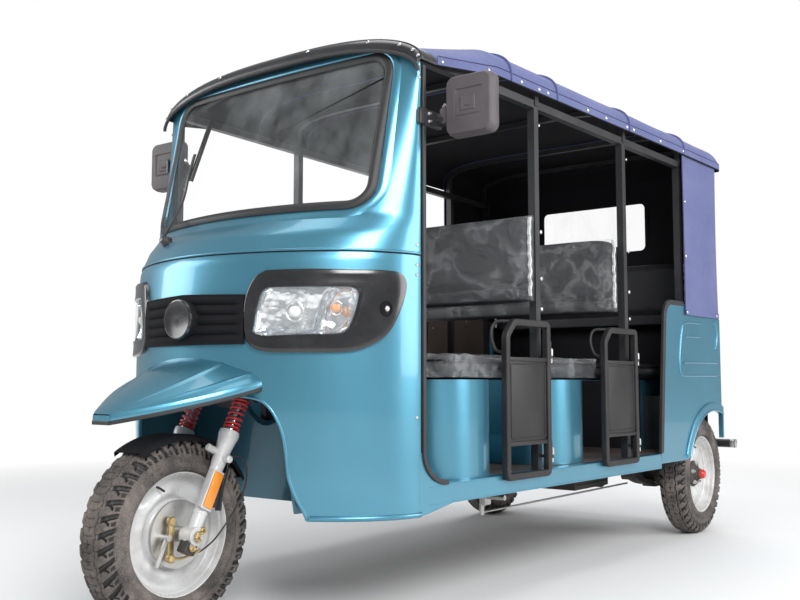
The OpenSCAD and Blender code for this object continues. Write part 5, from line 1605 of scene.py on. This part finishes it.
def rounded_path(corners, radii, n=9):
    """A closed path through corners, each cut by an arc of its own radius."""
    p = np.asarray(corners, float)
    parts = []
    for i, r in enumerate(radii):
        a, b, c = p[i - 1], p[i], p[(i + 1) % len(p)]
        first, second = (a - b)/np.linalg.norm(a - b), (c - b)/np.linalg.norm(c - b)
        half = math.acos(np.clip(first @ second, -1, 1))/2
        reach = r/math.tan(half)
        centre = b + (first + second)/np.linalg.norm(first + second)*r/math.sin(half)
        start, end = b + first*reach, b + second*reach
        t = np.linspace(0, 1, n)[:, None]
        arc = (start - centre)*(1 - t) + (end - centre)*t
        parts.append(centre + arc/np.linalg.norm(arc, axis=1)[:, None]*r)
    return np.vstack(parts)


def flat_loop(corners, radii, out):
    """A rounded path of (back, z) corners standing at a distance out from the flank."""
    path = rounded_path(corners, radii)
    path = spread(np.vstack([path, path[:1]]), 161)[0][:-1]
    return np.stack([np.full(len(path), out), path[:, 0], path[:, 1]], -1)


def gate_form(back):
    """Half gate in the flank's frame: a square tube bent round its opening, two rails, a sunk
    panel with a pressed border and a latch bow."""
    tube_line = flat_loop([(back + 0.012, 0.394), (back + 0.269, 0.394), (back + 0.269, 0.903),
                           (back + 0.056, 0.903), (back + 0.012, 0.857)],
                          [0.010, 0.010, 0.010, 0.030, 0.034], 0.0155)
    form = sweep(tube_line, rounded_outline(0.0115, 0.0118, 0.0045, 5), True, up=(1, 0, 0))
    for z in (0.500, 0.780):
        form = form + block((0.007, back + 0.020, z - 0.006), (0.024, back + 0.262, z + 0.006), 0.003)
    form = form + block((0.010, back + 0.021, 0.503), (0.020, back + 0.261, 0.777), 0.002)
    border = flat_loop([(back + 0.034, 0.518), (back + 0.248, 0.518), (back + 0.248, 0.764),
                        (back + 0.034, 0.764)], [0.008]*4, 0.0202)
    form = form + sweep(border, circle(0.0024, 8), True, up=(1, 0, 0))
    bow = curve([(0.004, back + 0.010, 0.800), (-0.022, back + 0.006, 0.812), (-0.040, back + 0.010, 0.860),
                 (-0.034, back + 0.024, 0.902), (0.006, back + 0.050, 0.906)], 40)
    return form + tube(bow, 0.0055, 10, up=(0, 1, 0.2))


def hinge_form(back):
    """Two hinge barrels with their ears."""
    half = [(0, 0.026), (0.0048, 0.025), (0.0050, 0.024)]
    barrel = lathe(half + [(r, -z) for r, z in half[::-1]], 20)
    knuckle = lathe([(0.0050, 0.023), (0.0072, 0.0225), (0.0072, 0.001), (0.0050, 0.0)], 20)
    return total((barrel + knuckle).move(0.0155, back + 0.299, z)
                 + block((0.0125, back + 0.280, z - 0.020), (0.0185, back + 0.296, z + 0.020), 0.0012)
                 for z in (0.452, 0.795))


def gates():
    """Four half gates, each on its own hinge."""
    for place, back in (("front", 0.418), ("rear", 1.098)):
        leaf, pins = flank_form(gate_form(back)), flank_form(hinge_form(back))
        for side in ("left", "right"):
            body = f"{place}_{side}_gate"
            turned = (leaf, pins) if side == "left" else (leaf.mirror(), pins.mirror())
            gate = make(body + "_leaf", turned[0], body, GATE)
            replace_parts(gate, f"{place}_{side}_door")
            make(body + "_hinges", turned[1], body, ZINC)


GATE = black_paint("gate paint", (0.010, 0.008, 0.009), 0.50, 0.0002)
gates()

# ---- mirrors ----------------------------------------------------------------


def mirrors():
    """Mirror housings with a slot, three grooves and a neck, glass behind, an arm and a clamp."""
    x1, y1, z1 = high("mirrors")
    x0, z0 = x1 - 0.164, z1 - 0.186
    cx, cz = (x0 + x1)/2, (z0 + z1)/2
    y = y1 - AXLE_Y - 0.025
    outline = rounded_outline(0.082, 0.093, 0.026, 40)
    share = np.linspace(0, 1, 46)
    rings = [(0.97, 0.0245), (0.99, 0.0250), (1.0, 0.0225), (1.0, 0.006), (0.995, -0.004), (0.985, -0.006),
             (0.975, -0.0105), (0.955, -0.0175), (0.92, -0.0215)]
    points = []
    for s, depth in rings:
        points.append(np.stack([cx + outline[:, 0]*s, np.full(len(outline), y + depth),
                                cz + outline[:, 1]*s], -1))
    for s in 0.92*(1 - share[1:]):
        x, z = outline[:, 0]*s, outline[:, 1]*s
        bulge = -0.0215 - 0.0035*(1 - (s/0.92)**2)
        notch = np.clip(1.5 - np.maximum(np.abs(x - 0.004)/0.046, np.abs(z - 0.034)/0.0125)**6, 0, 1)
        cuts = sum(np.exp(-((z - g)/0.0022)**2) for g in (-0.010, -0.022, -0.036))*(np.abs(x) < 0.070)
        points.append(np.stack([cx + x, y + bulge + 0.0040*notch + 0.0030*np.minimum(1, cuts), cz + z], -1))
    housing = grid(np.stack(points), round_v=True)
    neck = block((x0 - 0.026, y - 0.014, z0 + 0.046), (x0 + 0.010, y + 0.012, z0 + 0.096), 0.006)
    arm_z = ROOF_Z - 0.235
    arm = tube(curve([(NOSE_HALF + 0.014, y, arm_z), (NOSE_HALF + 0.030, y - 0.004, arm_z + 0.004),
                      (x0 - 0.006, y, arm_z + 0.014)], 20), 0.0105, 16)
    boot = lathe([(0, 0.0), (0.017, 0.0), (0.019, 0.006), (0.015, 0.024), (0.012, 0.032), (0, 0.033)], 28)
    boot = boot.turn("y", 90).move(NOSE_HALF + 0.010, y, arm_z)
    clamp = block((NOSE_HALF + 0.0008, PILLAR_Y - 0.020, arm_z - 0.024),
                  (NOSE_HALF + 0.0135, y + 0.010, arm_z + 0.024), 0.004)
    parts = (housing + neck).both().move(0, AXLE_Y, 0)
    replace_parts(make("mirror_housings", parts, "body", HOUSING, 32), "mirrors")
    make("mirror_arms", (arm + boot + clamp).both().move(0, AXLE_Y, 0), "body", CAP_BLACK)
    pane = plate(rounded_outline(0.076, 0.087, 0.022, 12), 0, 0.0015, 0.0005)
    pane = pane.turn("x", -90).move(cx, y + 0.0246, cz)
    make("mirror_glass", pane.both().move(0, AXLE_Y, 0), "body", MIRROR)
    bolt = nut(0.009, 0.007).turn("y", -90).move(x0 - 0.014, y, z0 + 0.098)
    more = [nut(0.0055, 0.004).move(NOSE_HALF + 0.013, y - 0.059, arm_z + rise) for rise in (-0.012, 0.012)]
    make("mirror_bolts", (bolt + total(more)).both().move(0, AXLE_Y, 0), "body", ZINC)


MIRROR = plated("mirror glass", (0.90, 0.91, 0.92), 0.16)
HOUSING = grained("mirror housing", (0.085, 0.075, 0.080), 0.42, 700, 0.0002)
mirrors()

# ---- rear body --------------------------------------------------------------

QUARTER_FRONT = 1.645                          # back from the front pillar, at the foot


def flank_strip(points, out, section, up=(1, 0, 0)):
    """A section carried along (back, z) points at a distance out from the left flank."""
    p = np.asarray(points, float)
    path = np.stack([np.full(len(p), out), p[:, 0], p[:, 1]], -1)
    return flank_form(sweep(path, section, up=up))


def quarter_details():
    """Rubber edge, pressed frame and ribs, the arch's roll and the patterned board inside."""
    top = QUARTER_TOP
    a = np.linspace(np.pi, np.pi/2, 18)
    arc = np.stack([QUARTER_FRONT + 0.130 + 0.070*np.cos(a), top - 0.070 + 0.070*np.sin(a)], -1)
    foot = SILL_FLAT + 0.004
    slope = np.linspace(0, 1, 40)[:-1, None]
    start = np.array([QUARTER_FRONT + 0.060*(foot - 0.360)/(top - 0.070 - 0.360), foot])
    line = np.vstack([start*(1 - slope) + arc[0]*slope, arc, [[FLAP_Y - PILLAR_Y - 0.006, top]]])
    edge = flank_strip(line, -0.006, rounded_outline(0.0115, 0.0080, 0.004, 5))
    make("quarter_edging", edge.both(), "body", RUBBER)
    routes = [([(2.079, 0.972), (1.945, 0.970), (1.892, 0.958), (1.872, 0.925), (1.852, 0.850),
                (1.842, 0.790), (1.846, 0.752), (1.872, 0.734), (1.930, 0.731), (2.266, 0.733)], 120, 1.0),
              ([(1.906, 0.906), (1.99, 0.908), (2.075, 0.910)], 20, 0.85),
              ([(1.888, 0.790), (2.08, 0.792), (2.270, 0.793)], 30, 1.0),
              ([(2.252, 0.990), (2.272, 0.965), (2.280, 0.925), (2.272, 0.885), (2.252, 0.856)], 40, 1.0)]
    ribs = total(flank_strip(curve(points, n), 0.0, circle(0.0052*grow, 10)) for points, n, grow in routes)
    make("quarter_ribs", ribs.both(), "body", TEAL, 70)
    angles = np.linspace(0.02, np.pi - 0.30, 80)
    rolls = []
    for r, first, last, out, thick in ((0.3000, 0.030, 2.318, 0.0075, 0.0055),
                                       (0.3300, 0.012, 2.322, 0.0035, 0.0060)):
        roll = np.stack([WHEELBASE - PILLAR_Y - r*np.cos(angles), TYRE_R + r*np.sin(angles)], -1)
        kept = (roll[:, 0] > QUARTER_FRONT + first) & (roll[:, 0] < last) & (roll[:, 1] > 0.372)
        rolls.append(flank_strip(roll[kept], out, circle(thick, 12)))
    make("arch_rolls", total(rolls).both(), "body", TEAL, 70)

    def board(back1, z0, z1):
        """A thin board inside the panel, from its sloping front edge back, between two heights."""
        u = np.linspace(0, 1, 40)[:, None]
        v = np.linspace(0, 1, 30)[None, :]
        z = z0 + (z1 - z0)*v + 0*u
        lean = QUARTER_FRONT + 0.060*np.clip((z - 0.36)/(top - 0.43), 0, 1) + 0.012
        rounding = 0.060*(1 - np.sqrt(np.clip(1 - np.clip((z - (top - 0.066))/0.060, 0, 1)**2, 0, 1)))
        front = lean + rounding
        back = front + (back1 - front)*u
        face = np.stack([np.full(back.shape, -0.0135), back, z], -1)
        return flank_form(shell(face, face - (0.0014, 0, 0)))

    boards = board(2.292, 0.646, top - 0.006) + board(1.885, SILL_FLAT + 0.004, 0.640)
    make("side_boards", boards.both(), "body", BOARD)
    spots = [(1.76, 0.98), (1.76, 0.80), (2.10, 1.03), (1.90, 1.03)]
    heads = snap_heads([flank(-0.0150, b, z) for b, z in spots], (-1, 0, 0), 0.0055)
    make("board_screws", heads.both(), "body", ZINC)


def patterned_board(name="patterned board"):
    """Brown vinyl board pressed with a woven pattern: crossed rows that break step every few."""
    paint = Paint(name, (0.070, 0.052, 0.046), 0.6)
    y, z = paint.axis("Y"), paint.axis("Z")
    rows = (y*(2*math.pi/0.016)).math("SINE")
    step = (z*(2*math.pi/0.011) + rows.above(0.0, 0.3)*math.pi).math("SINE")
    weave = (rows.math("ABSOLUTE")*0.5 + step*0.5)*0.5 + 0.5
    cloud = paint.noise(14, 3)
    paint.set("Base Color", paint.blend(weave*0.7 + cloud*0.3, (0.035, 0.027, 0.025), (0.150, 0.115, 0.100)))
    paint.set("Roughness", cloud*0.2 + 0.46)
    paint.bump(weave, 0.0010)
    return paint.material


BOARD = patterned_board()
quarter_details()


def tail():
    """Rear panel's pressed border, lamp frames with three cells, a blank plate, bumper ends."""
    z1 = high("rear_panel")[2]
    border = rounded_outline(0.40, (z1 - 0.05 - 0.60)/2, 0.040, 10) + (0, (z1 - 0.05 + 0.60)/2)
    y = high("rear_panel")[1] - AXLE_Y
    loop = station(border[:, 0], y, border[:, 1])
    make("tail_border", sweep(loop, circle(0.0055, 10), True, up=(0, 1, 0)), "body", TEAL, 70)
    lo, hi = low("tail_lamps"), high("tail_lamps")
    centre_z = (lo[2] + hi[2])/2
    ring = rounded_outline(0.045, 0.100, 0.018, 10)
    ring = station(0.535 + ring[:, 0], hi[1] - AXLE_Y - 0.010, centre_z + ring[:, 1])
    rings = sweep(ring, rounded_outline(0.0055, 0.0085, 0.002, 4), True, up=(0, 1, 0))
    bars = total(block((0.492, hi[1] - 0.004, z - 0.0025), (0.578, hi[1] + 0.0006, z + 0.0025), 0.001)
                 for z in (centre_z - 0.033, centre_z + 0.033))
    make("tail_lamp_frames", (rings + bars).both(), "body", CHROME)
    amber = block((0.496, hi[1] - 0.001, centre_z + 0.038), (0.574, hi[1] + 0.0014, centre_z + 0.093), 0.001)
    make("tail_turn_lamps", amber.both(), "body", ORANGE)
    blank = plate(rounded_outline(0.150, 0.060, 0.010, 8), 0, 0.0015, 0.0006).turn("x", 90)
    board = blank.move(0, y + AXLE_Y + 0.005, 0.720)
    make("blank_plate", board, "body", PLATE)
    screws = snap_heads([station(s*0.115, y + 0.005, 0.720) for s in (-1, 1)], (0, 1, 0), 0.006)
    hasp = block((-0.016, y + AXLE_Y, z1 - 0.085), (0.016, y + AXLE_Y + 0.010, z1 - 0.020), 0.004)
    make("tail_fittings", screws + hasp, "body", ZINC)
    end = high("rear_bumper")
    cap = lathe([(0, 0.006), (0.012, 0.005), (0.0195, 0.002), (0.0215, -0.004), (0.0215, -0.020),
                 (0.0205, -0.022), (0, -0.022)], 40).turn("y", 90)
    make("bumper_caps", cap.move(end[0] - 0.002, end[1] - 0.021, BUMPER_Z).both(), "body", ZINC)


BUMPER_Z = 0.404                               # height of the bumper tube's middle
PLATE = coloured("blank plate", (0.72, 0.72, 0.70), 0.35, 0.3)
tail()

# ---- cab, posts and underside -----------------------------------------------


def post_bolts():
    """Silver bolt heads on the posts' outer faces."""
    spots = [(0.705, 1.235), (0.705, 1.068), (0.705, 0.96), (1.391, 1.070), (1.391, 1.238), (1.391, 0.96)]
    heads = [snap_heads([flank(-0.0118, b, z) for b, z in places], (1, 0, 0), r)
             for places, r in ((spots, 0.0075), ([(0.700, 1.62), (1.386, 1.62)], 0.0055))]
    make("post_bolts", total(heads).both(), "body", ZINC)


def steering_controls():
    """Ribbed grips, levers, a dial cluster and looped cables on the handlebar."""
    half = (high("handlebar")[0] - low("handlebar")[0])/2
    bar_y, bar_z = 0.045, 0.913
    n = 80
    x = np.linspace(half - 0.124, half - 0.001, n)
    r = 0.0168 + 0.0010*(np.sin(np.linspace(0, 2*np.pi*15, n)) > 0)
    profile = np.stack([np.concatenate([[0], r, [0]]), np.concatenate([[x[0]], x, [x[-1]]])], -1)
    grip = lathe(profile, 28).turn("y", 90).move(0, bar_y, bar_z)
    steered("grips", grip.both(), RUBBER)
    lever = curve([(half - 0.150, bar_y - 0.020, bar_z), (half - 0.120, bar_y - 0.052, bar_z - 0.002),
                   (half - 0.050, bar_y - 0.062, bar_z - 0.004),
                   (half - 0.004, bar_y - 0.052, bar_z - 0.002)], 40)
    steered("levers", tube(lever, 0.0050, 12).both(), ZINC)
    dial = lathe([(0, 0.002), (0.036, 0.002), (0.040, 0.006), (0.046, 0.006), (0.049, 0.0), (0.049, -0.02),
                  (0, -0.02)], 56)
    dial = dial.turn("x", 30).move(0, bar_y - 0.003, bar_z + 0.0405)
    steered("dial_rim", dial, PIANO)
    cables = []
    for s in (-1, 1):
        for k in (0, 1):
            cables.append(tube(curve([(s*(half - 0.150), bar_y - 0.022, bar_z + 0.004*k),
                                      (s*(half - 0.220), bar_y - 0.080 - 0.012*k, bar_z + 0.010),
                                      (s*0.090, bar_y - 0.066 - 0.010*k, bar_z - 0.060),
                                      (s*0.040, bar_y - 0.030, bar_z - 0.150),
                                      (s*0.036, bar_y - 0.028, bar_z - 0.230)], 60), 0.0030, 8))
    steered("bar_cables", total(cables), RUBBER)


def underside():
    """The pedal's link and spring, U-bolts on the axle, fins on the engine."""
    lo = low("brake_linkage")
    foot = station(lo[0] + 0.058, lo[1] - AXLE_Y + 0.020, lo[2] + 0.012)
    rod = curve([foot, foot + (0.0, 0.060, 0.070), foot + (0.0, 0.100, 0.112)], 20)
    spring = np.linspace(0, 1, 160)
    coil = foot + np.stack([0.006*np.cos(spring*60), 0.006*np.sin(spring*60), 0.010 + spring*0.060], -1)
    make("pedal_link", tube(rod, 0.0028, 8) + tube(coil, 0.0013, 6), "body", ZINC)
    bolts = []
    for x in (0.330, 0.380):
        for y in (-0.028, 0.028):
            leg = station(x, WHEELBASE + y, TYRE_R + np.array([-0.055, 0.045]))
            bolts.append(tube(leg, 0.0052, 10))
            bolts.append(nut(0.0095, 0.009).turn("y", 90).move(x, AXLE_Y + WHEELBASE + y, TYRE_R - 0.044))
        a = np.linspace(0, np.pi, 16)
        bow = station(x, WHEELBASE + 0.028*np.cos(a), TYRE_R + 0.045 + 0.020*np.sin(a))
        bolts.append(tube(bow, 0.0052, 10))
    make("axle_bolts", total(bolts).both(), "body", ZINC)
    lo, hi = low("engine_block"), high("engine_block")
    fins = []
    for k in range(9):
        z = lo[2] + 0.018 + 0.012*k
        fins.append(block((lo[0] - 0.004, lo[1] + 0.02, z), (hi[0] + 0.004, hi[1] - 0.02, z + 0.004), 0.0015))
    make("engine_fins", total(fins), "body", CAST)


def sill_details():
    """Rolled lines along the top and foot of each sill."""
    back = np.linspace(0.040, QUARTER_FRONT - 0.01, 80)
    rolls = total(flank_strip(np.stack([back, np.full(80, z)], -1), -0.003, circle(0.0042, 10))
                  for z in (SILL_FLAT - 0.004, SILL_FLAT - 0.056))
    make("sill_rolls", rolls.both(), "body", TEAL, 70)


def floor_skins():
    """Painted skins on the floor tunnel between the benches, and dark boards at the rear."""
    skins = [block((-0.2825, AXLE_Y + y0, SILL_FLAT + 0.001), (0.2825, AXLE_Y + y1, FLOOR_Z + 0.0015), 0.0015)
             for y0, y1 in ((0.957, 1.288), (1.638, 1.840))]
    make("tunnel_skins", total(skins), "body", TEAL)
    front = block((-0.4525, AXLE_Y + 2.3085, 0.401), (0.4525, AXLE_Y + 2.3150, 0.7105))
    back = block((-0.60, AXLE_Y + BODY_BACK - 0.033, 0.42), (0.60, AXLE_Y + BODY_BACK - 0.029, 1.06))
    make("dark_boards", front + back, "body", LINING)


floor_skins()
post_bolts()
steering_controls()
underside()
sill_details()


# ---- finishes of the CAD nodes that stay ------------------------------------

FINISH = {"floor_pan": MAT, "front_wheel_well": TEAL_PAINTED_SHADE, "rear_window": PANE, "tail_lamps": LAMP_RED,
          "rear_bumper": CAP_BLACK, "engine_block": CAST, "rear_axle": CAST, "brake_linkage": ZINC,
          "handlebar": PLASTIC, "fork_legs": WHITE, "front_axle": ZINC}
for name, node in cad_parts.items():
    node.data.materials.clear()
    node.data.materials.append(FINISH.get(name, FRAME_BLACK))


def evened(name, limit=math.cos(math.radians(28))):
    """A copy of a CAD node, merged and shaded so that bent faces look round: at each corner the
    normals of its vertex's faces within an angle are added up by area."""
    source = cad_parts[name].data
    points, corners = read(source.vertices, "co", 3), read(source.loops, "vertex_index", kind=int)
    copy = make(name + "_skin", Form(points, [corners.reshape(-1, 3)]), "body", TEAL, 28)
    faces = [(np.array(f.normal), f.area, list(f.vertices)) for f in copy.data.polygons]
    around = {}
    for normal, area, ring in faces:
        for corner in ring:
            around.setdefault(corner, []).append((normal, area))
    normals = []
    for normal, _, ring in faces:
        for corner in ring:
            shared = sum(n*a for n, a in around[corner] if n @ normal > limit)
            normals.append(shared/np.linalg.norm(shared))
    copy.data.normals_split_custom_set(normals)
    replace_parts(copy, name)


for name in ("seat_bases", "quarter_panels", "side_sills", "rear_panel"):
    evened(name)

# ---- studio -----------------------------------------------------------------


def studio():
    """Pale floor and backdrop, four soft lamps, an even world and the camera."""
    paint = Paint("studio floor", (0.80, 0.80, 0.80), 0.9)
    out = paint.tree.nodes["Material Output"]
    glow = paint.tree.nodes.new("ShaderNodeEmission")
    glow.inputs["Strength"].default_value = 1.0
    mix = paint.tree.nodes.new("ShaderNodeMixShader")
    far = paint.node("VectorMath", {"operation": "LENGTH"}, paint.place, out=1)
    paint.feed(mix.inputs[0], (far - 2.6)/3.0)
    paint.tree.links.new(paint.shader.outputs[0], mix.inputs[1])
    paint.tree.links.new(glow.outputs[0], mix.inputs[2])
    paint.tree.links.new(mix.outputs[0], out.inputs["Surface"])
    ring = np.concatenate([[0.001], np.linspace(1, 14, 20)])
    plane = lathe([(r, 0.0) for r in ring], 96)
    mesh = bpy.data.meshes.new("studio_floor")
    mesh.from_pydata(plane.points.tolist(), [], plane.faces[0].tolist())
    floor = bpy.data.objects.new("studio_floor", mesh)
    mesh.materials.append(paint.material)
    bpy.context.scene.collection.objects.link(floor)

    world = bpy.context.scene.world or bpy.data.worlds.new("studio")
    bpy.context.scene.world = world
    world.use_nodes = True
    tree = world.node_tree
    tree.nodes.clear()
    light_path = tree.nodes.new("ShaderNodeLightPath")
    backdrop, fill = tree.nodes.new("ShaderNodeBackground"), tree.nodes.new("ShaderNodeBackground")
    backdrop.inputs["Color"].default_value = (1, 1, 1, 1)
    backdrop.inputs["Strength"].default_value = 1.0
    fill.inputs["Color"].default_value = (0.93, 0.96, 1.0, 1)
    fill.inputs["Strength"].default_value = 0.34
    either = tree.nodes.new("ShaderNodeMath")
    either.operation = "MAXIMUM"
    tree.links.new(light_path.outputs["Is Camera Ray"], either.inputs[0])
    tree.links.new(light_path.outputs["Is Transmission Ray"], either.inputs[1])
    mix = tree.nodes.new("ShaderNodeMixShader")
    tree.links.new(either.outputs[0], mix.inputs[0])
    tree.links.new(fill.outputs[0], mix.inputs[1])
    tree.links.new(backdrop.outputs[0], mix.inputs[2])
    tree.links.new(mix.outputs[0], tree.nodes.new("ShaderNodeOutputWorld").inputs["Surface"])

    lamps = [("key", (4.2, -3.6, 3.6), 2.4, 260), ("fill", (-3.8, -3.2, 2.6), 2.6, 90),
             ("side", (4.8, 1.6, 2.2), 3.0, 150), ("top", (0, 0.2, 5.6), 4.2, 130),
             ("rear", (-1.5, 5.2, 3.4), 3.2, 90)]
    for name, place, size, watts in lamps:
        light = bpy.data.lights.new(name, "AREA")
        light.size = size
        light.energy = watts
        lamp = bpy.data.objects.new(name, light)
        lamp.location = place
        lamp.rotation_euler = (Vector((0, -0.1, 0.8)) - Vector(place)).to_track_quat("-Z", "Y").to_euler()
        bpy.context.scene.collection.objects.link(lamp)

    lens = bpy.data.cameras.new("camera")
    lens.lens = 43.23
    lens.sensor_width = 36
    lens.clip_end = 60
    camera = bpy.data.objects.new("camera", lens)
    camera.location = station(2.2303, -1.840, FRONT_HUB[2] + 0.4332).tolist()
    camera.rotation_euler = (math.radians(94.847), 0, math.radians(37.143))
    bpy.context.scene.collection.objects.link(camera)
    bpy.context.scene.camera = camera


studio()
bpy.context.scene.view_settings.view_transform = "Standard"
